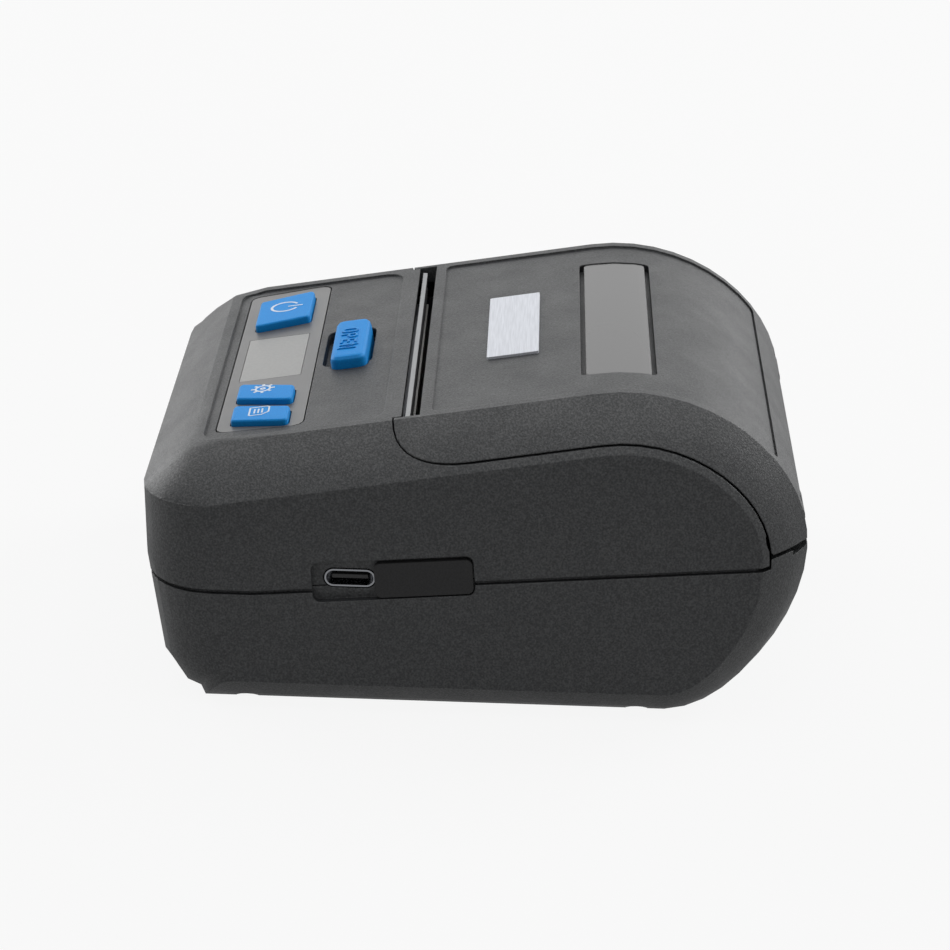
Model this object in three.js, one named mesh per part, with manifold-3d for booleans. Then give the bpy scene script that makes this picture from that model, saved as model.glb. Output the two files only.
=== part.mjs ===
// Portable receipt printer for 80 mm paper rolls.
// Units are millimetres. -Y is the control panel end, +Y is the paper end, +X is the side with the charging
// socket, +Z is up, and the origin of the finished part is the middle of the footprint on the table.
import * as THREE from 'three';
import { mergeVertices } from 'three/addons/utils/BufferGeometryUtils.js';
import Module from 'manifold-3d';

const wasm = await Module();
wasm.setup();

// Driving dimensions of the casing
const caseLength = 118;
const caseWidth = 102;
const frontBlock = 59;
const wall = 2.2;
const overrun = 20;
const seamHeight = 25.3;
const seamTiltDegrees = 4.83;
const seamFrontHeight = 22.05;
const seamGap = 0.8;
const seamStepDeep = 1;
const seamStepGap = 0.2;
const panelHeight = 55.2;
const panelTiltDegrees = 9.8;
const cornerRadius = 12;
const shoulderInset = 8.5;
const shoulderDrop = 8.4;
const baseInset = 5;
const baseRise = 5.2;
const frontCreaseHeight = 38.6;
const coverFlatShare = 0.4414;
const crestReachShare = 0.513;
const rearHeight = 31;
const rearReachUp = 16.7;
const rearReachDown = 13.9;
const baseRearSet = 24;
const baseRearReach = 12.3;
const baseFrontSet = 10.4;
const baseStep = 1.8;
const shoulderBulgeShare = 0.09;
const riseShares = [[0.5, 1], [0.55, 1], [0.75, 0.8], [0.95, 0.4], [1, 0]];
const slidingGap = 0.25;
const touchGap = 0.3;
const seatGap = 0.02;
const roundSteps = 24;
const pinSteps = 12;
const padSteps = 4;
const rimSteps = 3;

// Y is counted from the back of the block of panel and mechanism while the part is built. The pieces are
// set about the middle of the footprint at the end, so a longer case has a longer paper bay behind it.
const half = caseWidth / 2;
const frontY = -frontBlock;
const rearY = caseLength - frontBlock;
const centreY = (frontY + rearY) / 2;
const big = caseLength + overrun;
const slotFrontY = -13.4;
const slotRearY = -10.1;
const crestY = slotRearY + (rearY - slotRearY) * coverFlatShare;
const crestReach = (rearY - crestY) * crestReachShare;
const baseFrontY = frontY + baseFrontSet;
const baseRearY = rearY - baseRearSet;
const panelTilt = THREE.MathUtils.degToRad(panelTiltDegrees);
const seamTilt = THREE.MathUtils.degToRad(seamTiltDegrees);
const panelZ = (y) => panelHeight + Math.tan(panelTilt) * y;
const seamZ = (y) => Math.max(seamFrontHeight, seamHeight + Math.tan(seamTilt) * y);

// Boolean helpers: a geometry becomes a solid, and a solid becomes a geometry again
function solid(geometry) {
  const bare = geometry.index ? geometry.clone() : geometry;
  bare.deleteAttribute('normal');
  bare.deleteAttribute('uv');
  const merged = mergeVertices(bare, 1e-4);
  return new wasm.Manifold(new wasm.Mesh({
    numProp: 3,
    vertProperties: new Float32Array(merged.attributes.position.array),
    triVerts: new Uint32Array(merged.index.array),
  }));
}

function geometryOf(body) {
  const mesh = body.getMesh();
  const geometry = new THREE.BufferGeometry();
  geometry.setAttribute('position', new THREE.BufferAttribute(mesh.vertProperties, 3));
  geometry.setIndex(new THREE.BufferAttribute(mesh.triVerts, 1));
  return geometry;
}

const join = (...bodies) => bodies.reduce((a, b) => a.add(b));
const cut = (body, ...tools) => tools.reduce((a, b) => a.subtract(b), body);

function boxGeometry(x0, x1, y0, y1, z0, z1) {
  const geometry = new THREE.BoxGeometry(x1 - x0, y1 - y0, z1 - z0);
  return geometry.translate((x0 + x1) / 2, (y0 + y1) / 2, (z0 + z1) / 2);
}

const box = (x0, x1, y0, y1, z0, z1) => solid(boxGeometry(x0, x1, y0, y1, z0, z1));

// A round bar along X, about the line through (y, z)
function barX(radius, x0, x1, y, z, steps = roundSteps) {
  const geometry = new THREE.CylinderGeometry(radius, radius, x1 - x0, steps);
  return solid(geometry.rotateZ(Math.PI / 2).translate((x0 + x1) / 2, y, z));
}

// A round bar along Z, about the line through (x, y)
function barZ(radius, z0, z1, x, y, steps = roundSteps) {
  const geometry = new THREE.CylinderGeometry(radius, radius, z1 - z0, steps);
  return solid(geometry.rotateX(Math.PI / 2).translate(x, y, (z0 + z1) / 2));
}

const sideways = new THREE.Matrix4().makeBasis(
  new THREE.Vector3(0, 1, 0), new THREE.Vector3(0, 0, 1), new THREE.Vector3(1, 0, 0));

// An outline in (y, z) drawn out along X
function prismX(outline, x0, x1) {
  const shape = new THREE.Shape(outline.map(([y, z]) => new THREE.Vector2(y, z)));
  const geometry = new THREE.ExtrudeGeometry(shape, { depth: x1 - x0, bevelEnabled: false });
  return solid(geometry.applyMatrix4(sideways).translate(x0, 0, 0));
}

// A rectangle in (x, y) with round corners, drawn out along Z
function pad(x0, x1, y0, y1, z0, z1, radius, corner = padSteps) {
  const r = radius;
  const shape = new THREE.Shape();
  shape.moveTo(x0 + r, y0);
  shape.absarc(x1 - r, y0 + r, r, -Math.PI / 2, 0);
  shape.absarc(x1 - r, y1 - r, r, 0, Math.PI / 2);
  shape.absarc(x0 + r, y1 - r, r, Math.PI / 2, Math.PI);
  shape.absarc(x0 + r, y0 + r, r, Math.PI, Math.PI * 1.5);
  const settings = { depth: z1 - z0, bevelEnabled: false, curveSegments: corner };
  return solid(new THREE.ExtrudeGeometry(shape, settings).translate(0, 0, z0));
}

// A closed body through rings of points, each ring with the same count. The two end rings are filled in.
function throughRings(rings, fill) {
  const count = rings[0].length;
  const index = [];
  for (let i = 0; i + 1 < rings.length; i += 1) {
    for (let j = 0; j < count; j += 1) {
      const k = (j + 1) % count;
      const a = i * count + j;
      const b = i * count + k;
      index.push(a, b, b + count, a, b + count, a + count);
    }
  }
  const last = (rings.length - 1) * count;
  fill(rings[0]).forEach(([a, b, c]) => {
    index.push(a, c, b);
    index.push(last + a, last + b, last + c);
  });
  const geometry = new THREE.BufferGeometry();
  geometry.setAttribute('position', new THREE.Float32BufferAttribute(rings.flat(2), 3));
  geometry.setIndex(index);
  const body = solid(geometry);
  return body.volume() > 0 ? body : solid(flipped(geometry));
}

const fan = (ring) => ring.slice(2).map((_, i) => [0, i + 1, i + 2]);

function flipped(geometry) {
  const index = geometry.index.array;
  for (let i = 0; i < index.length; i += 3) [index[i + 1], index[i + 2]] = [index[i + 2], index[i + 1]];
  return geometry;
}

// The outline of a straight-edged shape, its corners given anticlockwise, set out by `grow` and rounded
function rounded(corners, grow, radius, steps) {
  const sides = corners.map(([x, y], i) => {
    const [nextX, nextY] = corners[(i + 1) % corners.length];
    const long = Math.hypot(nextX - x, nextY - y);
    return [(nextY - y) / long, (x - nextX) / long];
  });
  return corners.flatMap(([x, y], i) => {
    const [ax, ay] = sides[(i + corners.length - 1) % corners.length];
    const [bx, by] = sides[i];
    const reach = (grow - radius) / (1 + ax * bx + ay * by);
    const from = Math.atan2(ay, ax);
    const turn = Math.acos(Math.min(1, ax * bx + ay * by));
    return Array.from({ length: steps + 1 }, (_, k) => {
      const angle = from + (turn * k) / steps;
      return [x + (ax + bx) * reach + radius * Math.cos(angle),
        y + (ay + by) * reach + radius * Math.sin(angle)];
    });
  });
}

// That outline drawn out along Z. `rim` is the radius of the soft edge round the top.
function softPad(corners, grow, z0, z1, radius, rim = 0) {
  const at = (inset, z) => rounded(corners, grow - inset, radius - inset,
    padSteps).map(([x, y]) => [x, y, z]);
  const edge = Array.from({ length: rim > 0 ? rimSteps + 1 : 1 }, (_, i) => {
    const angle = (Math.PI / 2) * (i / rimSteps);
    return at(rim * (1 - Math.cos(angle)), z1 - rim * (1 - Math.sin(angle)));
  });
  return throughRings([at(0, z0), ...edge], fan);
}

// The panel's own frame: x across, y up the slope, z out of the panel, with its origin on the panel's line
const panelFrame = new THREE.Matrix4().makeRotationX(panelTilt).setPosition(0, 0, panelHeight);
const onPanel = (body) => solid(geometryOf(body).applyMatrix4(panelFrame));
const seamFrame = new THREE.Matrix4().makeRotationX(seamTilt).setPosition(0, 0, seamHeight);
const onSeam = (body) => solid(geometryOf(body).applyMatrix4(seamFrame));
const slopeY = (y) => y / Math.cos(panelTilt);

// The casing's skin: one side outline, drawn across the width, that sinks at the two flanks into a shoulder
// above and a soft edge below, and runs round the front corners in plan
const fineSkin = { stationShares: [0, 0.04, 0.11, 0.22, 0.38, 0.62, 1], crestSteps: 14, tailSteps: 10 };
const coarseSkin = { stationShares: [0, 0.19, 0.6, 1], crestSteps: 7, tailSteps: 5 };
const frontShares = [0, 0.16, 0.34, 0.57, 1];
const shoulderSinkShare = (share) => (
  share >= 1 ? 0 : (1 - share) - 4 * shoulderBulgeShare * share * (1 - share));
const frontLean = 0.4;
const frontLeanShare = 0.11;
const frontWideHeight = 26;
const frontFootHeight = 7.5;
const frontFootSet = 3.4;
const frontToeSet = 6.7;
const frontToeHeight = 2.9;
const flatBreakShares = [0.36, 0.62];
const frontZoneRun = 3;

// A curve's points, each with the way into the casing
function bezierPoints(controls, steps) {
  const curve = new THREE.CubicBezierCurve(...controls.map((point) => new THREE.Vector2(...point)));
  return Array.from({ length: steps + 1 }, (_, i) => {
    const at = curve.getPoint(i / steps);
    const along = curve.getTangent(i / steps);
    return { y: at.x, z: at.y, ny: along.y, nz: -along.x };
  });
}

// The top line and the round back of the side outline, sunk square to themselves
function crestLine(sink, steps) {
  const flat = flatBreakShares.map((share) => {
    const y = frontY + (crestY - frontY) * share;
    return [y + Math.sin(panelTilt) * sink, panelZ(y) - Math.cos(panelTilt) * sink];
  });
  const crest = bezierPoints([
    [crestY, panelZ(crestY)], [crestY + crestReach, panelZ(crestY + crestReach)],
    [rearY, rearHeight + rearReachUp], [rearY, rearHeight]], steps);
  return [...flat, ...crest.map((p) => [p.y + p.ny * sink, p.z + p.nz * sink])];
}

// One closed (y, z) outline of the skin, at a distance in from the flank, for a skin set in by `inward`
function skinOutline(fromFlank, inward, { crestSteps, tailSteps }) {
  const r = cornerRadius - inward;
  const reach = Math.min(fromFlank, r);
  const face = frontY + inward + r - Math.sqrt(Math.max(0, r * r - (r - reach) * (r - reach)));
  const bend = face - frontY - inward;
  const flankSink = shoulderDrop * shoulderSinkShare(Math.min(1, fromFlank / shoulderInset));
  const baseSink = baseRise * shoulderSinkShare(Math.min(1, fromFlank / baseInset));
  const creaseZ = frontCreaseHeight - inward * frontLeanShare;
  const points = [];
  // the front, from the foot of the base up to the seam: y, z, then shares of the bend and of the rise
  const rise = [
    [baseFrontY, 0, ...riseShares[0]],
    [baseFrontY - baseStep / 2, baseStep, ...riseShares[1]],
    [frontY + frontToeSet, frontToeHeight, ...riseShares[2]],
    [frontY + frontFootSet, frontFootHeight, ...riseShares[3]],
    [frontY + frontLean, frontWideHeight, ...riseShares[4]],
  ];
  rise.forEach(([y, z, bendShare, sinkShare], i) => {
    const lift = inward * (1 - i / (rise.length - 1));
    points.push([y + inward + bend * bendShare, z + lift + baseSink * sinkShare]);
  });
  // the front shoulder, as a height over the plan
  const cornerY = frontY + cornerRadius;
  frontShares.forEach((share) => {
    const y = face + (cornerY + frontZoneRun - face) * share;
    const side = Math.max(0, r - fromFlank);
    const ahead = Math.max(0, cornerY - y);
    const inset = r - Math.hypot(side, ahead);
    const insetShare = Math.min(1, Math.max(0, side > 0 || ahead > 0 ? Math.min(inset,
      r) : r) / shoulderInset);
    const sink = shoulderDrop * shoulderSinkShare(Math.min(insetShare,
      Math.min(1, fromFlank / shoulderInset)));
    const top = panelZ(y) - inward / Math.cos(panelTilt) - sink;
    points.push([y, share === 0 ? Math.max(creaseZ - inward / 2, panelZ(y) - shoulderDrop - inward) : top]);
  });
  points.push(...crestLine(inward + flankSink, crestSteps));
  const tail = bezierPoints([
    [rearY, rearHeight], [rearY, rearHeight - rearReachDown],
    [baseRearY + baseRearReach, 0], [baseRearY, 0]], tailSteps);
  tail.slice(1).forEach((p, i) => {
    const share = (i + 1) / tailSteps;
    const sink = inward + flankSink * (1 - share) + baseSink * share;
    points.push([p.y + p.ny * sink, p.z + p.nz * sink]);
  });
  return points;
}


// The whole skin set in by `inward`: the outlines one beside the other. Inner walls take coarser steps.
function skin(inward) {
  const detail = inward < wall - seatGap ? fineSkin : coarseSkin;
  const shoulder = detail.stationShares.map((share) => share * shoulderInset);
  const nearFlank = [...shoulder, cornerRadius - inward];
  const width = half - inward;
  const stations = [...nearFlank.map((s) => ({ x: -width + s, s })),
    ...nearFlank.map((s) => ({ x: width - s, s })).reverse()];
  const rings = stations.map(({ x, s }) => skinOutline(s, inward, detail).map(([y, z]) => [x, y, z]));
  return throughRings(rings, (ring) => {
    const outline = ring.map(([, y, z]) => new THREE.Vector2(y, z));
    const faces = THREE.ShapeUtils.triangulateShape(outline, []);
    const covered = faces.reduce((sum, face) => sum + THREE.ShapeUtils.area(face.map((i) => outline[i])), 0);
    const same = covered * THREE.ShapeUtils.area(outline) > 0;
    return faces.map(([a, b, c]) => (same ? [a, b, c] : [a, c, b]));
  });
}

const group = new THREE.Group();
const plastic = 0x2b2b2d;
const steel = 0xb9bcc0;
const blue = 0x1f7fe0;

function piece(name, body, color, roughness = 0.6, metalness = 0) {
  const material = new THREE.MeshStandardMaterial({ color, roughness, metalness });
  const mesh = new THREE.Mesh(geometryOf(body).translate(0, -centreY, 0), material);
  mesh.name = name;
  group.add(mesh);
  return mesh;
}

const outer = skin(0);
const inner = skin(wall);
const seamBreakY = (seamFrontHeight - seamHeight) / Math.tan(seamTilt);

// All that lies between the seam, raised by `lift`, and a height far above or below it
function sideOfSeam(lift, end) {
  const line = [-big, seamBreakY, big].map((y) => [y, seamZ(y) + lift]);
  return prismX([...line, [big, end], [-big, end]], -big, big);
}

const aboveSeam = sideOfSeam(seamGap, big);
const belowSeam = sideOfSeam(0, -big);

// The paper cover's border, seen from the side: round the front of its ears, along the flank just above the
// crease, and down the back to the lower case, which stands up behind the border
const earFrontY = -14.6;
const earRun = 13.6;
const earBend = 0.3;
const earFall = 4.6;
const earLead = 8;
const earSteps = 10;
const borderRise = 1.6;
const coverGap = 0.35;
const rearLift = 1.8;
const hingeSet = 3;
const hingeRise = 5.8;
const hingeY = rearY - hingeSet;
const hingeZ = seamZ(hingeY) + hingeRise;
const hingePinRadius = 1;
const barrelRadius = 2.5;
const swingRadius = 4.5;
const flankSwingRadius = 4.95;
const swingClearance = 0.15;
const lugInset = 15;
const lugInnerX = half - lugInset;
const lugWidth = 4;
const lugOuterX = lugInnerX + lugWidth;
const lugGap = 0.3;
const lugNeck = 9;
const barrelWidth = 5;
const turningGap = 0.08;
const pressGap = 0.06;
const slotInset = 9.5;
const slotHalf = half - slotInset;

function coverBorder(grow) {
  const sink = shoulderDrop - borderRise + grow;
  const lineZ = (y) => panelZ(y) - sink / Math.cos(panelTilt);
  const front = earFrontY - grow;
  const end = earFrontY + earRun;
  const ear = bezierPoints([
    [front, panelZ(earFrontY)], [front + earBend, panelZ(earFrontY) - earFall],
    [end - earLead, lineZ(end - earLead)], [end, lineZ(end)]], earSteps).map(({ y, z }) => [y, z]);
  const back = crestLine(sink, fineSkin.crestSteps).filter(([y]) => y > end);
  const foot = back[back.length - 1][0];
  return [[front, big], ...ear, ...back, [foot, -big], [big, -big], [big, big]];
}

const coverZone = prismX(coverBorder(0), -big, big);
const coverRoom = prismX(coverBorder(coverGap), -big, big);
const flankStart = half - baseInset;
const swingRoom = barX(swingRadius + coverGap, -flankStart, flankStart, hingeY, hingeZ);
const sides = [-1, 1];
const bothSides = (make) => sides.map(make);
const spanX = (side, a, b) => (side > 0 ? [a, b] : [-b, -a]);

// The panel's features, in the panel's own frame. The keys fan out a little towards the paper end.
const panelPocket = 0.4;
const panelBorder = 2;
const pocketCorner = 4;
const pocketSet = 3.1;
const pocketHalf = half - shoulderInset - panelBorder;
const overlayFarGap = [2.9, 1.1];
const overlayNearGap = [4.2, 2.9];
const overlayFront = -47.2;
const overlayRear = -31.5;
const overlayThick = 0.8;
const overlayDrop = 0.45;
const overlayCorner = 2;
const overlayFarX = overlayFarGap.map((gap) => gap - pocketHalf);
const overlayNearX = overlayNearGap.map((gap) => pocketHalf - gap);
const buttonGap = 0.25;
const flangeReach = 0.8;
const flangeThick = 1;
const buttonFront = -44.7;
const buttonRear = -34.2;
const buttonCorner = 0.9;
const buttonRim = 0.5;
const powerInset = [7.3, 5.9];
const powerWide = [14.3, 15.2];
const feedInset = [2.4, 0.6];
const feedWide = [7.6, 7.2];
const settingsWide = [7.6, 7.4];
const keyGap = [3.6, 3.3];
const displayGap = 4.1;
const displayFront = -45.45;
const displayRear = -33.8;
const powerX = [overlayFarX[0] + powerInset[0], overlayFarX[1] + powerInset[1]];
const feedX = [overlayNearX[0] - feedInset[0] - feedWide[0], overlayNearX[1] - feedInset[1] - feedWide[1]];
const settingsX = feedX.map((x, i) => x - keyGap[i] - settingsWide[i]);
const displayX0 = powerX[0] + powerWide[0] + displayGap;
const displayX1 = settingsX[0] - displayGap;
const fourCorners = (x, wide) => [
  [x[0], buttonFront], [x[0] + wide[0], buttonFront], [x[1] + wide[1], buttonRear], [x[1], buttonRear]];
const keys = [
  { name: 'power', corners: fourCorners(powerX, powerWide), proud: 1 },
  { name: 'settings', corners: fourCorners(settingsX, settingsWide), proud: 0.7 },
  { name: 'feed', corners: fourCorners(feedX, feedWide), proud: 0.7 },
];
const overlayCorners = [
  [overlayFarX[0], overlayFront], [overlayNearX[0], overlayFront],
  [overlayNearX[1], overlayRear], [overlayFarX[1], overlayRear]];
const releaseX0 = -10.2;
const releaseX1 = 11.1;
const releaseFront = -28.2;
const releaseRear = -21.5;
const releaseCorners = [
  [releaseX0, releaseFront], [releaseX1, releaseFront], [releaseX1, releaseRear], [releaseX0, releaseRear]];
const releaseProud = 1.9;
const releaseCorner = 1.8;
const releaseRim = 1.2;
const wellX0 = -10.5;
const wellX1 = 9.2;
const wellFront = -30;
const wellRear = -20.7;
const wellCorner = 2;
const wellWall = 1.6;
const wellDeep = 2.4;
const wellFloor = 4.4;
const boardDeep = 7.1;
const boardThick = 1.6;
const floorOf = (drop) => -drop;
const overlayFloor = floorOf(overlayDrop + overlayThick + touchGap);
const keyFloor = floorOf(wall + touchGap);

function key({ corners, proud }) {
  const cap = softPad(corners, 0, keyFloor, proud, buttonCorner, buttonRim);
  const flange = softPad(corners, flangeReach, keyFloor - flangeThick, keyFloor, buttonCorner);
  return onPanel(join(cap, flange));
}

const keyHole = (corners, z0) => softPad(corners, buttonGap, z0, big, buttonCorner + buttonGap);

// The release button: a long cap in a dished well, with a stem below that pushes the lever
const stemX = 1.7;
const stemY = -25.5;
const stemRadius = 1.5;
const stemDeep = 14.6;
const releaseFlange = 1;
const flangeTop = wellFloor + touchGap;
const springSeatDeep = 11.9;
const springSeatThick = 1.2;
const springWire = 0.5;
const springRadius = 2.7;
const springCurls = 4;

function releaseButton() {
  const cap = softPad(releaseCorners, 0, floorOf(flangeTop), releaseProud, releaseCorner, releaseRim);
  const flange = softPad(releaseCorners, releaseFlange, floorOf(flangeTop + flangeThick),
    floorOf(flangeTop), releaseCorner);
  const stem = barZ(stemRadius, floorOf(stemDeep), floorOf(flangeTop), stemX, stemY, pinSteps);
  return onPanel(join(cap, flange, stem));
}

// A round wire wound along Z, as one unbroken tube with flat ends
const curlSteps = 8;
const wireSides = 5;
function spring(radius, wire, length, curls) {
  const steps = curls * curlSteps;
  const rings = Array.from({ length: steps + 1 }, (_, i) => {
    const angle = (i * 2 * Math.PI) / curlSteps;
    return Array.from({ length: wireSides }, (__, j) => {
      const around = (j * 2 * Math.PI) / wireSides;
      const out = radius + (wire / 2) * Math.cos(around);
      const z = wire / 2 + ((length - wire) * i) / steps + (wire / 2) * Math.sin(around);
      return [out * Math.cos(angle), out * Math.sin(angle), z];
    });
  });
  return throughRings(rings, fan);
}

// The print mechanism, seen from the side
const platenY = -6.3;
const platenZ = 43.5;
const platenRadius = 5;
const platenInset = 10.8;
const platenHalf = half - platenInset;
const platenShaftRadius = 2;
const bushRadius = 2.7;
const gearModule = 0.5;
const platenTeeth = 15;
const firstIdlerTeeth = 24;
const secondIdlerTeeth = 28;
const pinionTeeth = 12;
const gearGap = 0.05;
const gearReliefRadius = 4.6;
const centreDistance = (a, b) => (gearModule * (a + b)) / 2 + gearGap;
const away = ([y, z], distance, degrees) => [
  y + distance * Math.cos(THREE.MathUtils.degToRad(degrees)),
    z + distance * Math.sin(THREE.MathUtils.degToRad(degrees))];
const firstIdlerAngle = -103;
const secondIdlerAngle = 173;
const pinionAngle = -169;
const platenAt = [platenY, platenZ];
const firstIdlerAt = away(platenAt, centreDistance(platenTeeth, firstIdlerTeeth), firstIdlerAngle);
const secondIdlerAt = away(firstIdlerAt, centreDistance(firstIdlerTeeth, secondIdlerTeeth), secondIdlerAngle);
const pinionAt = away(secondIdlerAt, centreDistance(secondIdlerTeeth, pinionTeeth), pinionAngle);
const plateInset = 7.8;
const plateThick = 0.9;
const gearSpace = 0.7;
const gearWide = 1.6;
const bracketSpace = 0.5;
const earThick = 1.2;
const plateOuterX = half - plateInset;
const plateInnerX = plateOuterX - plateThick;
const gearInnerX = -plateOuterX - gearSpace;
const gearOuterX = gearInnerX - gearWide;
const shaftLead = 0.4;
const gearWaySpare = 1.5;
const reliefOuterX = gearOuterX - shaftLead - touchGap;
const reliefInnerX = gearInnerX + touchGap;
const gearRelief = barX(gearReliefRadius, reliefOuterX, reliefInnerX, ...platenAt);
const bracketOuterX = plateInnerX - bracketSpace;
const bracketInnerX = bracketOuterX - earThick;
const motorRadius = 7.5;
const motorLong = 7.3;
const motorSpace = 0.6;
const motorInnerX = -plateInnerX + motorLong;
const toothTopShare = 0.3;
const toothRootShare = 0.62;
const toothDeepShare = 1.15;
const toothHighShare = 0.9;

// A spur gear's outline about its own centre, with a tooth centred on the given angle
function gearShape(teeth, phase) {
  const pitch = (gearModule * teeth) / 2;
  const step = (2 * Math.PI) / teeth;
  const shape = [];
  for (let i = 0; i < teeth; i += 1) {
    const mid = phase + i * step;
    const top = pitch + gearModule * toothHighShare;
    const root = pitch - gearModule * toothDeepShare;
    [[root, -toothRootShare], [top, -toothTopShare], [top, toothTopShare], [root, toothRootShare]].forEach(
      ([r, share]) => shape.push([r * Math.cos(mid + (share * step) / 2),
        r * Math.sin(mid + (share * step) / 2)]));
  }
  return shape;
}

// Where a gear's tooth must stand so that it meets the gap of the gear before it
function meshPhase(teethBefore, phaseBefore, teeth, centreBefore, centre) {
  const line = Math.atan2(centre[1] - centreBefore[1], centre[0] - centreBefore[0]);
  const turn = ((line - phaseBefore) * teethBefore) / (2 * Math.PI);
  return line + Math.PI - ((0.5 - turn) * 2 * Math.PI) / teeth;
}

const platenPhase = 0;
const firstIdlerPhase = meshPhase(platenTeeth, platenPhase, firstIdlerTeeth, platenAt, firstIdlerAt);
const secondIdlerPhase = meshPhase(firstIdlerTeeth, firstIdlerPhase, secondIdlerTeeth, firstIdlerAt,
  secondIdlerAt);
const pinionPhase = meshPhase(secondIdlerTeeth, secondIdlerPhase, pinionTeeth, secondIdlerAt, pinionAt);

function gear(teeth, phase, [y, z]) {
  return prismX(gearShape(teeth, phase).map(([a, b]) => [y + a, z + b]), gearOuterX, gearInnerX);
}

// The charging socket and its shutter, in the seam's own frame for the recess and level for the socket
const socketY = -21.6;
const socketZ = 25.35;
const shellWide = 8.94;
const shellHigh = 3.26;
const shellLong = 7.3;
const shellWall = 0.3;
const shellGap = 0.25;
const portRoundShare = 0.99;
const tongueWide = 6.3;
const tongueThick = 0.7;
const recessDeep = 1.5;
const recessFront = -28.15;
const recessRear = 0.5;
const recessLow = -1.9;
const recessHigh = 5.65;
const recessCorner = 1.4;
const shutterFront = -17.1;
const shutterTravel = 9.9;
const shutterGap = 0.3;
const shutterTopGap = 0.8;
const shutterThick = 1.2;

// A rectangle in (y, z) with round corners, drawn out along X
function padX(y0, y1, z0, z1, x0, x1, radius, corner = padSteps) {
  return solid(geometryOf(pad(y0, y1, z0, z1, x0, x1, radius, corner)).applyMatrix4(sideways));
}

const socketOutline = (grow, x0, x1) => padX(
  socketY - shellWide / 2 - grow, socketY + shellWide / 2 + grow, socketZ - shellHigh / 2 - grow,
  socketZ + shellHigh / 2 + grow, x0, x1, (shellHigh / 2 + grow) * portRoundShare);
const recessFloorX = half - recessDeep;
const sideRecess = onSeam(
  padX(recessFront, recessRear, recessLow, recessHigh, recessFloorX, half + overrun, recessCorner));
const portHole = socketOutline(shellGap, half - wall - overrun / 2, half + overrun);

// Posts, bosses and screws
const bossInset = 5.9;
const bossX = half - bossInset;
const bossFrontY = -40;
const bossRearSet = 29;
const bossYs = [bossFrontY, rearY - bossRearSet];
const bossRadius = 2.9;
const screwHoleRadius = 1.15;
const screwShankRadius = 1;
const screwHeadRadius = 1.9;
const screwHeadHigh = 1.6;
const counterboreRadius = 2.15;
const screwSeatZ = 12;
const screwReach = 5;
const bossReach = 8;
const carrierPostInset = 12.6;
const carrierPostX = half - carrierPostInset;
const carrierPostYs = [-12, -3];
const carrierPostRadius = 2.4;
const boardStepRadius = 3.2;
const boardPillarY = -44;
const mainBoardThick = 1.6;
const mainBoardLow = socketZ - shellHigh / 2 - seatGap - mainBoardThick;
const carrierBaseZ = 29;
const carrierBaseThick = 1.2;
const rollZ = 31;
const bucketWall = 1.6;
const bucketInset = 9.8;
const bucketHalf = half - bucketInset;
const bucketFrontY = 4.3;
const bucketRearSet = 8.5;
const bucketFloor = 7.9;
const troughRadius = Math.min((rearY - bucketRearSet - bucketFrontY) / 2, rollZ - bucketFloor);
const rollRadius = troughRadius - bucketWall;
const rollY = rearY - bucketRearSet - troughRadius;
const ribInset = 21;
const bucketRibX = half - ribInset;
const ribThick = 1.6;
const ribGap = 0.1;
const neckShare = 0.85;
const ribReachShare = 0.65;
const ribRise = 3;

// Battery bay
const batteryInset = 18;
const batteryHalf = half - batteryInset;
const batteryFront = -44;
const batteryRear = 2;
const batteryLow = 1.5;
const batteryHigh = 21;
const batteryCorner = 2;
const doorInset = 15;
const doorHalf = half - doorInset;
const doorThick = 1.4;
const doorFront = -48.4;
const doorRear = 8;
const doorLift = 0.05;
const railDrop = 0.8;
const railReach = 1.2;
const bayGap = 1;
const bayBorder = 4;
const bayWallHigh = 12;
const baseThick = 3.6;
const pocketTop = doorThick + touchGap;

const plasticLook = [plastic, 0.6, 0];
const steelLook = [steel, 0.3, 1];
const keyLook = [blue, 0.45, 0];
const frameLook = [0x34353a, 0.5, 0.3];

// Paper cover
const coverPocket = skin(panelPocket);
const coverFieldEnd = 6;
const coverFieldCorner = 1.5;
const windowInset = 9.5;
const windowHalf = pocketHalf - windowInset;
const windowSet = 1.5;
const windowLong = 11.7;
const windowFront = crestY - windowSet;
const windowRear = windowFront + windowLong;
const windowCorner = 0.8;
const windowGroove = 0.9;
const windowThick = 1;
const windowSink = 0.15;
const windowPocketDeep = 1.4;
const labelHalf = 16.6;
const labelSet = 8.5;
const labelLong = 9.4;
const labelRear = windowFront - labelSet;
const labelFront = labelRear - labelLong;
const labelThick = 0.5;
const labelCorner = 0.4;

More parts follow.
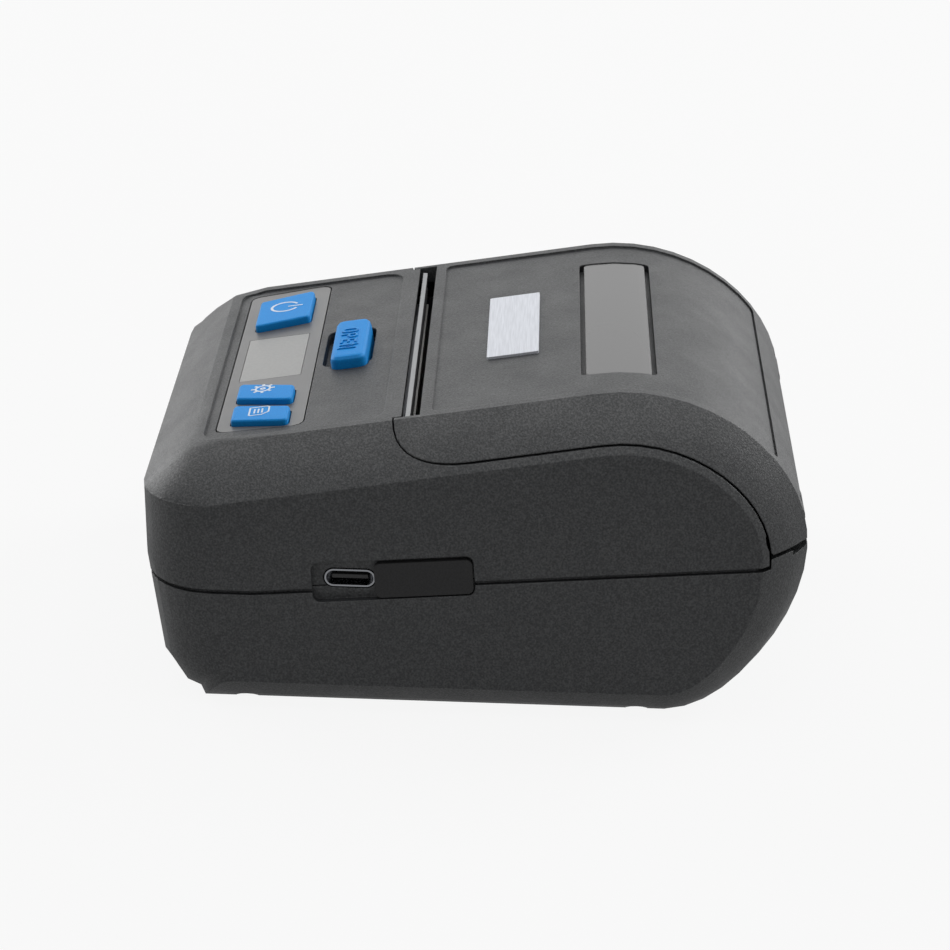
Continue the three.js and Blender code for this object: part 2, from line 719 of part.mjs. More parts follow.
function paperCover() {
  const shell = cut(outer, inner);
  // round the hinge the cover keeps inside the circles that it can swing in
  const nearHinge = box(-big, big, hingeY - swingRadius * 2, big, -big, hingeZ);
  const below = cut(nearHinge, barX(swingRadius, -flankStart, flankStart, hingeY, hingeZ),
    barX(flankSwingRadius, flankStart, half, hingeY, hingeZ),
    barX(flankSwingRadius, -half, -flankStart, hingeY, hingeZ));
  let body = cut(shell.intersect(coverZone).intersect(sideOfSeam(rearLift + seamGap, big)),
    box(-slotHalf, slotHalf, -big, slotRearY, seamHeight, big), below);
  // the shallow field on top, and the seats of the window and the label
  const field = pad(-pocketHalf, pocketHalf, slotRearY + panelBorder, rearY - coverFieldEnd, seamHeight,
    big, coverFieldCorner);
  body = cut(body, cut(field, coverPocket));
  const backing = cut(skin(wall - windowSink), skin(wall + windowPocketDeep - panelPocket))
    .intersect(box(-windowHalf - wall, windowHalf + wall, windowFront - wall, windowRear + wall, seamHeight,
      big));
  body = join(body, backing);
  const seat = pad(-windowHalf - buttonGap, windowHalf + buttonGap, windowFront - windowGroove,
    windowRear + windowGroove, seamHeight, big, windowCorner + buttonGap);
  body = cut(body, cut(seat, skin(panelPocket + windowPocketDeep)));
  // barrels on the shaft, and notches for the lower case's lugs
  sides.forEach((side) => {
    const [b0, b1] = spanX(side, lugInnerX - lugGap - barrelWidth, lugInnerX - lugGap);
    const web = box(b0, b1, hingeY, hingeY + barrelRadius, hingeZ - barrelRadius / 2,
      hingeZ + barrelRadius * 2);
    body = join(body, barX(barrelRadius, b0, b1, hingeY, hingeZ), web.intersect(outer));
    const [n0, n1] = spanX(side, lugInnerX - lugGap, lugOuterX + lugGap);
    body = cut(body, box(n0, n1, hingeY - swingRadius, big, 0, hingeZ + barrelRadius + touchGap));
  });
  body = cut(body, barX(hingePinRadius + turningGap, -lugOuterX, lugOuterX, hingeY, hingeZ, pinSteps));
  return cut(body, gearRelief);
}

piece('paper_cover', paperCover(), ...plasticLook);

const windowBody = cut(skin(panelPocket + windowSink), skin(panelPocket + windowSink + windowThick))
  .intersect(pad(-windowHalf, windowHalf, windowFront, windowRear, seamHeight, big, windowCorner));
piece('window_insert', windowBody, 0x77787a, 0.15);
const labelBody = onPanel(pad(-labelHalf, labelHalf, slopeY(labelFront), slopeY(labelRear),
  floorOf(panelPocket) + seatGap, floorOf(panelPocket) + labelThick, labelCorner));
piece('label_plate', labelBody, 0xc9cacb, 0.35, 0.4);

// Upper case
const boardPostSet = 0.4;
const boardPostSpace = 2.8;
const boardPostFarX = overlayFarX[0] + boardPostSet;
const boardPostNearX = overlayNearX[1] + boardPostSpace;
const boardPostYs = [-44.5, -34.5];
const boardPostRadius = 1.5;
const boardPostRoot = 0.2;
const smallScrewRadius = 0.75;
const smallScrewReach = 3;
const smallScrewSpare = 0.6;
const smallShankGap = 0.1;
const smallShankRadius = smallScrewRadius - smallShankGap;
const smallHoleSpare = 0.2;
const smallHoleRadius = smallScrewRadius + smallHoleSpare;
const lensGap = 0.1;
const boardPostMidX = displayX0 - boardPostRadius - lensGap;
const boardPosts = [
  [boardPostFarX, boardPostYs[0]], [boardPostMidX, boardPostYs[1]],
  [boardPostNearX, boardPostYs[0]], [boardPostNearX, boardPostYs[1]]];
const wellCut = pad(wellX0, wellX1, wellFront, wellRear, floorOf(wellDeep), big, wellCorner);

function upperCase() {
  const shell = cut(outer, inner).intersect(aboveSeam);
  const top = cut(shell, box(-big, big, slotFrontY, big, -big, big))
    .intersect(box(-slotHalf + coverGap, slotHalf - coverGap, -big, big, -big, big));
  let body = join(cut(shell, coverRoom), top);
  const well = box(wellX0 - wellWall, releaseX1 + wellWall * 2, wellFront - wellWall, wellRear + wellWall,
    floorOf(wellFloor), floorOf(wall / 2));
  body = join(body, onPanel(well));
  const field = pad(-pocketHalf, pocketHalf, frontY + shoulderInset + panelBorder, slotFrontY - pocketSet,
    seamHeight, big, pocketCorner);
  body = cut(body, cut(field, coverPocket), onPanel(softPad(overlayCorners, buttonGap, overlayFloor, big,
    overlayCorner)));
  keys.forEach(({ corners }) => {
    body = cut(body, onPanel(keyHole(corners, floorOf(wall * 2))));
  });
  body = cut(body, onPanel(box(displayX0, displayX1, displayFront, displayRear, floorOf(wall * 2), big)),
    onPanel(wellCut),
    onPanel(softPad(releaseCorners, buttonGap, floorOf(big), big, releaseCorner + buttonGap)));
  // posts under the panel that hold the control board
  boardPosts.forEach(([x, y]) => {
    const post = barZ(boardPostRadius, floorOf(boardDeep), floorOf(wall - boardPostRoot), x, y, pinSteps);
    const hole = barZ(smallScrewRadius, floorOf(boardDeep + boardThick),
      floorOf(boardDeep - smallScrewReach), x, y, pinSteps);
    body = join(body, onPanel(cut(post, hole)));
  });
  sides.forEach((side) => bossYs.forEach((y) => {
    const foot = seamZ(y) + seamGap + touchGap;
    const boss = barZ(bossRadius, foot, foot + bossReach, side * bossX, y, pinSteps);
    const [w0, w1] = spanX(side, bossX, half - wall / 2);
    const web = box(w0, w1, y - ribThick / 2, y + ribThick / 2, foot, foot + bossReach);
    body = join(body, join(boss, web).intersect(outer));
    body = cut(body, barZ(screwHoleRadius, foot - touchGap, foot + screwReach + smallScrewSpare,
      side * bossX, y, pinSteps));
  }));
  // the way out for the platen's gear, and the room that the cover's lower corners swing through
  const gearWay = box(reliefOuterX, reliefInnerX, platenY - gearReliefRadius, platenY + gearReliefRadius + gearWaySpare,
    platenZ, big);
  const swing = barX(flankSwingRadius + swingClearance, -half, half, hingeY, hingeZ);
  return cut(body, sideRecess, portHole, gearRelief, gearWay, swing);
}

piece('upper_case', upperCase(), ...plasticLook);

// Lower case
function lowerCase() {
  const rim = coverZone.intersect(sideOfSeam(rearLift, -big));
  // the inner half of the wall stands up in the seam, so the seam is a groove outside and nearly shut inside
  const step = skin(seamStepDeep).intersect(sideOfSeam(seamGap - seamStepGap, -big));
  let body = cut(cut(outer, inner).intersect(join(belowSeam, cut(step, coverRoom), rim)), swingRoom);
  const floor = box(-doorHalf - bayBorder, doorHalf + bayBorder, batteryFront - bayBorder,
    doorRear + bayBorder, 0, baseThick);
  body = join(body, floor.intersect(outer));
  const bayWalls = cut(
    box(-batteryHalf - bayGap - ribThick, batteryHalf + bayGap + ribThick, batteryFront - bayGap - ribThick,
      batteryRear + bayGap + ribThick, baseThick / 2, bayWallHigh),
    box(-batteryHalf - bayGap, batteryHalf + bayGap, batteryFront - bayGap, batteryRear + bayGap, 0, big));
  body = join(body, bayWalls);
  sides.forEach((side) => {
    bossYs.forEach((y) => {
      const boss = barZ(bossRadius + touchGap, baseRise / 4, seamZ(y) - touchGap, side * bossX, y, pinSteps);
      body = join(body, boss.intersect(outer));
    });
    carrierPostYs.forEach((y) => {
      body = join(body, barZ(carrierPostRadius, wall / 2, carrierBaseZ - seatGap, side * carrierPostX, y,
        pinSteps),
        barZ(boardStepRadius, wall / 2, mainBoardLow - seatGap, side * carrierPostX, y, pinSteps));
    });
    body = join(body, barZ(boardStepRadius, wall / 2, mainBoardLow - seatGap, side * carrierPostX,
      boardPillarY, pinSteps));
    const ribReach = rollRadius * ribReachShare;
    const rib = box(side * bucketRibX - ribThick / 2, side * bucketRibX + ribThick / 2, rollY - ribReach,
      rollY + ribReach,
      wall / 2, rollZ - rollRadius + ribRise);
    const trough = barX(troughRadius + ribGap, -half, half, rollY, rollZ, roundSteps * 2);
    body = join(body, cut(rib, trough).intersect(outer));
    const [l0, l1] = spanX(side, lugInnerX, lugOuterX);
    const neck = box(l0, l1, hingeY - barrelRadius, hingeY + barrelRadius * neckShare, hingeZ - lugNeck,
      hingeZ);
    body = join(body, barX(barrelRadius, l0, l1, hingeY, hingeZ), neck.intersect(outer));
  });
  sides.forEach((side) => {
    bossYs.forEach((y) => {
      body = cut(body, barZ(counterboreRadius, -overrun, screwSeatZ, side * bossX, y, pinSteps),
        barZ(screwHoleRadius, 0, big, side * bossX, y, pinSteps));
    });
    const hole = (z, y) => barZ(smallScrewRadius, z - smallScrewReach - smallScrewSpare, big,
      side * carrierPostX, y, pinSteps);
    body = cut(body, hole(mainBoardLow, boardPillarY), ...carrierPostYs.map((y) => hole(carrierBaseZ, y)));
  });
  body = cut(body, barX(hingePinRadius + pressGap, -lugOuterX, lugOuterX, hingeY, hingeZ, pinSteps));
  // the door's slideway, open to the front, and the bay above it
  const slideway = join(
    box(-doorHalf - slidingGap, doorHalf + slidingGap, baseFrontY - wall, doorRear + touchGap, railDrop,
      pocketTop),
    box(-doorHalf + railReach - slidingGap, doorHalf - railReach + slidingGap, baseFrontY - wall,
    doorRear + touchGap,
      -overrun, pocketTop));
  const bay = box(-batteryHalf - bayGap, batteryHalf + bayGap, batteryFront - bayGap, batteryRear + bayGap,
    0, baseThick + bayGap);
  return cut(body, slideway, bay, sideRecess, portHole);
}

piece('lower_case', lowerCase(), ...plasticLook);

// Bucket for the paper roll: a half-round trough with end walls and a lip that leads the paper to the roller
const bucketRearRise = 2.5;
const bucketFrontRise = 2;
const bucketLipY = -0.4;
const bucketLipZ = 36.6;
const bucketEndRise = 12;
const bucketEndShares = [[-1, 0.33], [-0.5, 1], [0.33, 1], [0.8, 0.67]];
const bucketSteps = 18;

function arcPoints(y, z, radius, from, to, steps) {
  return Array.from({ length: steps + 1 }, (_, i) => {
    const angle = from + ((to - from) * i) / steps;
    return [y + radius * Math.cos(angle), z + radius * Math.sin(angle)];
  });
}

function paperBucket() {
  const rise = Math.asin(bucketRearRise / troughRadius);
  const fall = Math.PI - Math.asin(bucketFrontRise / troughRadius);
  const inside = arcPoints(rollY, rollZ, rollRadius, rise, fall - 2 * Math.PI, bucketSteps);
  const outside = arcPoints(rollY, rollZ, troughRadius, fall - 2 * Math.PI, rise, bucketSteps);
  const lip = [[bucketLipY, bucketLipZ], [bucketLipY, bucketLipZ - bucketWall]];
  const trough = prismX([...inside, ...lip, ...outside], -bucketHalf, bucketHalf);
  const endOutline = [
    ...arcPoints(rollY, rollZ, rollRadius + bucketWall / 2, 0, -Math.PI, bucketSteps),
    ...bucketEndShares.map(([along, up]) => [rollY + rollRadius * along, rollZ + bucketEndRise * up]),
  ];
  const ends = bothSides((side) => prismX(endOutline, ...spanX(side, bucketHalf - bucketWall, bucketHalf)));
  return join(trough, ...ends);
}

piece('paper_bucket', paperBucket(), 0x1f1f21, 0.7);

// Battery door and pack
const doorGrips = 4;
const gripSet = 5;
const gripPitch = 2.4;
const gripHalf = 9;
const gripDeep = 0.5;

function batteryDoor() {
  const tongue = box(-doorHalf, doorHalf, doorFront, doorRear, railDrop + slidingGap / 2, doorThick);
  const face = box(-doorHalf + railReach, doorHalf - railReach, doorFront, doorRear, doorLift, doorThick);
  let body = join(tongue, face);
  for (let i = 0; i < doorGrips; i += 1) {
    const y = doorFront + gripSet + i * gripPitch;
    body = cut(body, box(-gripHalf, gripHalf, y, y + gripPitch / 2, -overrun, doorLift + gripDeep));
  }
  return body;
}

piece('battery_door', batteryDoor(), ...plasticLook);
const batteryPack = pad(-batteryHalf, batteryHalf, batteryFront, batteryRear, batteryLow, batteryHigh,
  batteryCorner);
piece('battery_pack', batteryPack, 0x24466e, 0.5);

// Shaft of the cover's hinge
piece('hinge_shaft', barX(hingePinRadius, -lugOuterX, lugOuterX, hingeY, hingeZ, pinSteps), ...steelLook);

// Control panel: overlay, display and boards
const overlayPad = softPad(overlayCorners, 0, floorOf(overlayDrop + overlayThick), floorOf(overlayDrop),
  overlayCorner);
const displayHole = box(displayX0, displayX1, displayFront, displayRear, floorOf(wall), big);
piece('panel_overlay', onPanel(cut(overlayPad, displayHole,
  ...keys.map(({ corners }) => keyHole(corners, floorOf(wall))))),
  0x8a8a88, 0.2);
const displayBox = (low, high) => onPanel(box(
  displayX0 + lensGap, displayX1 - lensGap, displayFront + lensGap, displayRear - lensGap, floorOf(low),
    floorOf(high)));
piece('display_lens', displayBox(overlayDrop + overlayThick, overlayDrop), 0xa9a9a7, 0.2);
const moduleLift = 0.3;
piece('display_module', displayBox(boardDeep - moduleLift, overlayDrop + overlayThick + lensGap), 0x1c2a24,
  0.4);
const boardSpareX = 2.2;
const boardSpareY = 2.3;
const boardGap = 0.02;
const screwLift = 0.5;
const screwHeadThick = 1;
const boardBottom = floorOf(boardDeep + boardThick);
let controlBoard = box(boardPostFarX - boardSpareX, boardPostNearX + boardSpareX,
  boardPostYs[0] - boardSpareY,
  boardPostYs[1] + boardSpareY, boardBottom, floorOf(boardDeep + boardGap));
const motorNotch = box(-big, motorInnerX + motorSpace, boardPostYs[0] + boardSpareY * 2, big, floorOf(big),
  0);
controlBoard = cut(controlBoard, motorNotch);
boardPosts.forEach(([x, y]) => {
  controlBoard = cut(controlBoard, barZ(smallHoleRadius, floorOf(big), 0, x, y, pinSteps));
});
piece('control_board', onPanel(controlBoard), 0x1d5c3a, 0.5);
boardPosts.forEach(([x, y], i) => {
  const head = barZ(smallScrewRadius * 2, boardBottom - screwHeadThick, boardBottom - boardGap, x, y,
    pinSteps);
  const shank = barZ(smallShankRadius, boardBottom - screwLift,
    floorOf(boardDeep - smallScrewReach + screwLift), x, y, pinSteps);
  piece(`control_board_screw_${i + 1}`, onPanel(join(head, shank)), ...steelLook);
});
const switchHalf = 2.6;
const switchHigh = 1.9;
const switchLift = 0.05;
const plungerRadius = 1.2;
const plungerHigh = 0.7;
keys.forEach(({ name, corners, proud }) => {
  piece(`${name}_button`, key({ corners, proud }), ...keyLook);
  const [x, y] = [0, 1].map((axis) => corners.reduce((sum, corner) => sum + corner[axis],
    0) / corners.length);
  const low = floorOf(boardDeep - switchLift);
  const body = join(box(x - switchHalf, x + switchHalf, y - switchHalf, y + switchHalf, low,
    low + switchHigh),
    barZ(plungerRadius, low + switchHigh / 2, low + switchHigh + plungerHigh, x, y, pinSteps));
  piece(`${name}_switch`, onPanel(body), 0x3a3a3c, 0.4);
});
piece('release_button', releaseButton(), ...keyLook);
const springLength = springSeatDeep - flangeTop - flangeThick - 2 * touchGap;
const releaseSpring = spring(springRadius, springWire, springLength, springCurls)
  .translate([stemX, stemY, floorOf(springSeatDeep - touchGap)]);
piece('release_spring', onPanel(releaseSpring), ...steelLook);

// Print mechanism's frame: a base with two cheeks, a front wall and a ledge under the release button
const cheekRearY = 0.5;
const cheekTopZ = 46.4;
const plateRearShoulderZ = 44;
const nearCheekFront = -20;
const farCheekFront = -37.5;
const frontWallY = -20;
const frontWallThick = 1.2;
const frontWallTop = 41.5;
const leverWindowHalf = 4.9;
const leverWindowHigh = 5;
const leverY = -15.6;
const leverZ = 32.6;
const leverShaftRadius = 1.2;
const axleRadius = 1;
const notchRadius = bushRadius + touchGap;
const notchRearShare = 1.4;
const axleGap = 0.03;
const motorShaftRadius = 0.75;
const motorHoleSpare = 0.6;
const cheekBevel = 2;
const ledgeReach = 6.8;
const ledgeSpare = 1.4;
const headPivotY = -14;
const headPivotZ = 38.4;
const headPivotRadius = 0.8;

function carrier() {
  const baseTop = carrierBaseZ + carrierBaseThick;
  let body = box(-plateOuterX, plateOuterX, frontWallY, cheekRearY, carrierBaseZ, baseTop);
  const cheek = (front) => [
    [front, carrierBaseZ], [cheekRearY, carrierBaseZ], [cheekRearY, plateRearShoulderZ],
    [cheekRearY - cheekBevel, cheekTopZ], [leverY + cheekBevel, cheekTopZ],
    [leverY - cheekBevel / 2, frontWallTop],
    [front, frontWallTop],
  ];
  body = join(body, prismX(cheek(nearCheekFront), plateInnerX, plateOuterX));
  const far = [
    [farCheekFront, pinionAt[1] - motorRadius], [frontWallY, carrierBaseZ],
      ...cheek(farCheekFront).slice(1, 5),
    [frontWallY, frontWallTop], [farCheekFront, frontWallTop - cheekBevel],
  ];
  body = join(body, prismX(far, -plateOuterX, -plateInnerX),
    box(-plateOuterX, plateOuterX, frontWallY, frontWallY + frontWallThick, carrierBaseZ, frontWallTop));
  body = cut(body, box(stemX - leverWindowHalf, stemX + leverWindowHalf, frontWallY - wall, frontWallY + wall,
    baseTop, leverZ + leverWindowHigh));
  // U notches for the roller's bushes, open the way the roller leaves
  const notch = join(barX(notchRadius, -half, half, platenY, platenZ),
    box(-half, half, platenY - notchRadius, platenY + notchRadius * notchRearShare, platenZ, big));
  const farSide = box(-half, -plateInnerX + axleGap, -big, big, 0, big);
  const nearSide = box(plateInnerX - axleGap, half, -big, big, 0, big);
  body = cut(body, notch.intersect(join(farSide, nearSide)));
  body = cut(body, barX(leverShaftRadius + turningGap, -half, half, leverY, leverZ, pinSteps),
    barX(headPivotRadius + turningGap, -half, half, headPivotY, headPivotZ, pinSteps));
  const seat = box(stemX - springRadius - ledgeSpare, stemX + springRadius + ledgeSpare,
    stemY - springRadius - ledgeSpare,
    stemY + ledgeReach, floorOf(springSeatDeep + springSeatThick), floorOf(springSeatDeep));
  body = join(body, onPanel(cut(seat, barZ(stemRadius + touchGap, floorOf(big), 0, stemX, stemY, pinSteps))));
  const holes = [[axleRadius + axleGap, firstIdlerAt], [axleRadius + axleGap, secondIdlerAt],
    [motorShaftRadius + motorHoleSpare, pinionAt]];
  holes.forEach(([radius, at]) => {
    body = cut(body, barX(radius, -half, 0, ...at, pinSteps).intersect(farSide));
  });
  carrierPostYs.forEach((y) => sides.forEach((side) => {
    body = cut(body, barZ(smallHoleRadius, 0, baseTop + wall, side * carrierPostX, y, pinSteps));
  }));
  return body;
}

piece('mechanism_frame', carrier(), ...frameLook);

// A small screw with its head on a face at height `top`, through a plate that rests at height `seat`
function smallScrew(top, seat, x, y) {
  const head = barZ(smallScrewRadius * 2, top + seatGap, top + screwHeadThick, x, y, pinSteps);
  return join(head, barZ(smallShankRadius, seat - smallScrewReach, top + screwLift, x, y, pinSteps));
}

carrierPostYs.forEach((y, i) => sides.forEach((side) => {
  const screw = smallScrew(carrierBaseZ + carrierBaseThick, carrierBaseZ, side * carrierPostX, y);
  piece(`frame_screw_${i * 2 + (side > 0 ? 2 : 1)}`, screw, ...steelLook);
}));

// Stepper motor, gears and axles
const motorBody = join(barX(motorRadius, -plateInnerX + seatGap, motorInnerX, ...pinionAt),
  barX(motorShaftRadius, gearOuterX, motorInnerX, ...pinionAt, pinSteps));
piece('stepper_motor', motorBody, 0x9a9da1, 0.35, 0.9);
const gearLook = [0xe8e6df, 0.5, 0];
const axleHead = 0.6;
const axleTail = 0.25;
const axleLead = 0.3;
const shaftTail = 1.4;
const headWideShare = 1.6;
const bored = (body, radius, at) => cut(body, barX(radius, -half, half, ...at, pinSteps));
const pinion = bored(gear(pinionTeeth, pinionPhase, pinionAt), motorShaftRadius + axleGap, pinionAt);
piece('motor_pinion', pinion, 0xb08d3c, 0.35, 1);
[
  ['first', firstIdlerTeeth, firstIdlerPhase, firstIdlerAt],
  ['second', secondIdlerTeeth, secondIdlerPhase, secondIdlerAt],
].forEach(([name, teeth, phase, at]) => {
  piece(`${name}_idler_gear`, bored(gear(teeth, phase, at), axleRadius + turningGap, at), ...gearLook);
  const headX = gearOuterX - axleLead;
  const axle = join(barX(axleRadius, headX, -plateInnerX + axleTail, ...at, pinSteps),
    barX(axleRadius * headWideShare, headX - axleHead, headX, ...at, pinSteps));
  piece(`${name}_idler_axle`, axle, ...steelLook);
});
const platenGear = gear(platenTeeth, platenPhase, platenAt);
piece('platen_gear', bored(platenGear, platenShaftRadius + axleGap, platenAt), ...gearLook);
const platenShaft = barX(platenShaftRadius, gearOuterX - shaftLead, bracketOuterX + shaftTail, ...platenAt,
  pinSteps);
piece('platen_shaft', platenShaft, ...steelLook);
const rubber = barX(platenRadius, -platenHalf, platenHalf, ...platenAt);
piece('platen_rubber', bored(rubber, platenShaftRadius + axleGap, platenAt), 0x171717, 0.85);
const bushSet = 0.1;
sides.forEach((side) => {
  const bush = barX(bushRadius, ...spanX(side, bracketInnerX - bushSet, plateOuterX - bushSet), ...platenAt);
  const bore = barX(platenShaftRadius + turningGap, -half, half, ...platenAt);
  piece(side < 0 ? 'platen_bush_far' : 'platen_bush_near', cut(bush, bore), 0xd9d5c8, 0.5);
});

// Bracket under the cover that carries the roller
const bracketThick = 1.2;
const bracketFront = -9.2;
const bracketRear = 3;
const earRadius = 3.6;
const earBrink = 3;
const earTurns = [1.05, 1.95];

function rollerBracket() {
  const plate = onPanel(box(-bracketOuterX, bracketOuterX, slopeY(bracketFront), slopeY(bracketRear),
    floorOf(wall + bracketThick), floorOf(wall)));
  const underPlate = panelZ(bracketFront) - wall - bracketThick / 2;
  const turn = earTurns.map((halves) => halves * Math.PI);
  const ears = bothSides((side) => {
    const arc = arcPoints(platenY, platenZ, earRadius, ...turn, padSteps * 2);
    const root = [[bracketFront + turningGap, underPlate], ...arc, [bracketRear - earBrink, underPlate]];
    return prismX(root, ...spanX(side, bracketInnerX, bracketOuterX));
  });
  const bore = barX(bushRadius + axleGap, -half, half, ...platenAt);
  return cut(join(plate, ...ears), bore).intersect(skin(wall + seatGap));
}

piece('roller_bracket', rollerBracket(), ...frameLook);

// Print head: a ceramic strip on a ribbed heat sink, with two springs behind it
const headFace = platenY - platenRadius - touchGap;
const stripThick = 1;
const sinkThick = 2.6;
const headInset = 11.2;
const headHalf = half - headInset;
const headLow = 37.4;
const headHigh = 46;
const grooveCount = 9;
const grooveWide = 3;
const grooveFoot = 1.5;
const headSpringX = 22;
const headSpringZ = 39.6;
const headSpringRadius = 1.5;
const headSpringWire = 0.45;
const headSpringCurls = 3;
const springPad = 4;
const springRest = 0.15;
const stripGap = 0.05;
const sinkFace = headFace - stripThick - stripGap;
const sinkBack = sinkFace - sinkThick;
const strip = box(-headHalf, headHalf, headFace - stripThick, headFace, headLow, headHigh);
piece('thermal_strip', strip, 0xe9e9e4, 0.3);
let heatSink = box(-headHalf, headHalf, sinkBack, sinkFace, headLow, headHigh);
for (let i = 0; i < grooveCount; i += 1) {
  const x = -headHalf + ((i + 0.5) * 2 * headHalf) / grooveCount;
  if (Math.abs(Math.abs(x) - headSpringX) > springPad) {
    heatSink = cut(heatSink,
      box(x - grooveWide / 2, x + grooveWide / 2, -big, sinkFace - sinkThick / 2, headLow + grooveFoot, big));
  }
}
const headPivot = barX(headPivotRadius, -plateOuterX + bushSet, plateOuterX - bushSet, headPivotY,
  headPivotZ, pinSteps);
piece('heat_sink', join(heatSink, headPivot), 0xa8abb0, 0.35, 0.9);
const headSpringFoot = frontWallY + frontWallThick + springRest;
const headSpringLong = sinkBack - headSpringFoot - springRest;
[['head_spring_far', -headSpringX], ['head_spring_near', headSpringX]].forEach(([name, x]) => {
  const wound = geometryOf(spring(headSpringRadius, headSpringWire, headSpringLong, headSpringCurls));
  piece(name, solid(wound.rotateX(-Math.PI / 2).translate(x, headSpringFoot, headSpringZ)), ...steelLook);
});

// Tear bar: a toothed steel strip that bridges the cheeks and stands in the paper slot
const tearHalf = plateOuterX - bushSet;
const tearFrontY = -12.7;
const tearThick = 0.8;
const tearFoot = 2;
const tearEnd = 1;
const tearLow = cheekTopZ + seatGap;
const tearShoulder = tearLow + tearFoot;
const tearTop = panelZ(tearFrontY) - touchGap;
const tearToothWide = 1.6;
const tearToothHigh = 0.7;
const tearTeeth = Math.floor((2 * (slotHalf - coverGap - tearEnd)) / tearToothWide);

function tearBar() {
  const x0 = -(tearTeeth * tearToothWide) / 2;
  const shape = new THREE.Shape();
  shape.moveTo(-tearHalf, tearLow);
  shape.lineTo(tearHalf, tearLow);
  shape.lineTo(tearHalf, tearShoulder);
  shape.lineTo(-x0, tearShoulder);
  for (let i = tearTeeth; i > 0; i -= 1) {
    shape.lineTo(x0 + i * tearToothWide, tearTop - tearToothHigh);
    shape.lineTo(x0 + (i - 0.5) * tearToothWide, tearTop);
  }
  shape.lineTo(x0, tearTop - tearToothHigh);
  shape.lineTo(x0, tearShoulder);
  shape.lineTo(-tearHalf, tearShoulder);
  const geometry = new THREE.ExtrudeGeometry(shape, { depth: tearThick, bevelEnabled: false });
  return solid(geometry.rotateX(Math.PI / 2).translate(0, tearFrontY + tearThick, 0));
}

piece('tear_bar', tearBar(), steel, 0.35, 0.9);

// Release lever: a rod with one arm under the button's stem and two fingers that lift the roller's bracket
const armThick = 3;
const armTipY = -24;
const armTipZ = 36.1;
const armTipThick = 2;
const armTipLong = 3.2;
const armRootShare = 0.9;
const fingerTipY = -5.3;
const fingerTipZ = 37.1;
const fingerTipThick = 1.8;
const fingerTipLong = 2;

function releaseLever() {
  const rod = barX(leverShaftRadius, -plateOuterX, plateOuterX, leverY, leverZ, pinSteps);
  const under = [leverY, leverZ - leverShaftRadius * armRootShare];
  const arm = prismX([
    [armTipY, armTipZ - armTipThick], under, [leverY + leverShaftRadius, leverZ],
    [armTipY + armTipLong, armTipZ], [armTipY, armTipZ],
  ], stemX - armThick / 2, stemX + armThick / 2);
  const finger = [
    [leverY - leverShaftRadius, leverZ], under, [fingerTipY, fingerTipZ - fingerTipThick],
    [fingerTipY, fingerTipZ], [fingerTipY - fingerTipLong, fingerTipZ],
  ];
  return join(rod, arm, ...bothSides((side) => prismX(finger, ...spanX(side, bracketInnerX, bracketOuterX))));
}

piece('release_lever', releaseLever(), ...frameLook);

// Main board with the charging socket
const boardInset = 5;
const boardTab = 2;
const boardTabSpare = 1;
const mainBoardHalf = half - boardInset;
const mainBoardFront = -52;
const mainBoardRear = 2.5;
const boardRound = 0.3;
const boardBossGap = 0.8;
const boardTop = mainBoardLow + mainBoardThick;
let mainBoard = join(
  box(-mainBoardHalf, mainBoardHalf, mainBoardFront, mainBoardRear, mainBoardLow, boardTop),
  box(0, mainBoardHalf + boardTab, socketY - shellWide / 2 - boardTabSpare,
  socketY + shellWide / 2 + boardTabSpare,
    mainBoardLow, boardTop));
sides.forEach((side) => {
  mainBoard = cut(mainBoard, barZ(bossRadius + boardBossGap, 0, big, side * bossX, bossFrontY, pinSteps),
    barZ(smallHoleRadius, 0, big, side * carrierPostX, boardPillarY, pinSteps));
  carrierPostYs.forEach((y) => {
    mainBoard = cut(mainBoard, barZ(carrierPostRadius + boardRound, 0, big, side * carrierPostX, y,
      pinSteps));
  });
});
piece('main_board', mainBoard, 0x1d5c3a, 0.5);
sides.forEach((side) => {
  const screw = smallScrew(boardTop, mainBoardLow, side * carrierPostX, boardPillarY);
  piece(side < 0 ? 'board_screw_far' : 'board_screw_near', screw, ...steelLook);
});
const tongueSet = 0.8;
const shellInnerX = recessFloorX - shellLong;
const shellBody = cut(socketOutline(0, shellInnerX, recessFloorX),
  socketOutline(-shellWall, shellInnerX + shellWall, half));
piece('socket_shell', shellBody, ...steelLook);
const tongue = box(shellInnerX + shellWall + seatGap, recessFloorX - tongueSet, socketY - tongueWide / 2,
  socketY + tongueWide / 2, socketZ - tongueThick / 2, socketZ + tongueThick / 2);
piece('socket_tongue', tongue, 0x141414, 0.6);

// Shutter that slides over the socket
const shutterSet = 0.2;
const shutterX0 = recessFloorX + shutterSet;
const shutter = onSeam(padX(shutterFront, recessRear - shutterGap, recessLow + shutterGap,
  recessHigh - shutterTopGap,
  shutterX0, shutterX0 + shutterThick, recessCorner - shutterGap));
piece('socket_shutter', shutter, 0x3b3b3d, 0.8);

// Screws that hold the two halves of the case together
sides.forEach((side) => bossYs.forEach((y, i) => {
  const head = barZ(screwHeadRadius, screwSeatZ - screwHeadHigh, screwSeatZ - seatGap, side * bossX, y,
    pinSteps);
  const tip = seamZ(y) + seamGap + screwReach;
  const shank = barZ(screwShankRadius, screwSeatZ - screwHeadHigh / 2, tip, side * bossX, y, pinSteps);
  piece(`case_screw_${(side > 0 ? 3 : 1) + i}`, join(head, shank), ...steelLook);
}));

export default group;
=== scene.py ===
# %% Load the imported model
import bmesh
import bpy
import math
from mathutils import Matrix, Vector


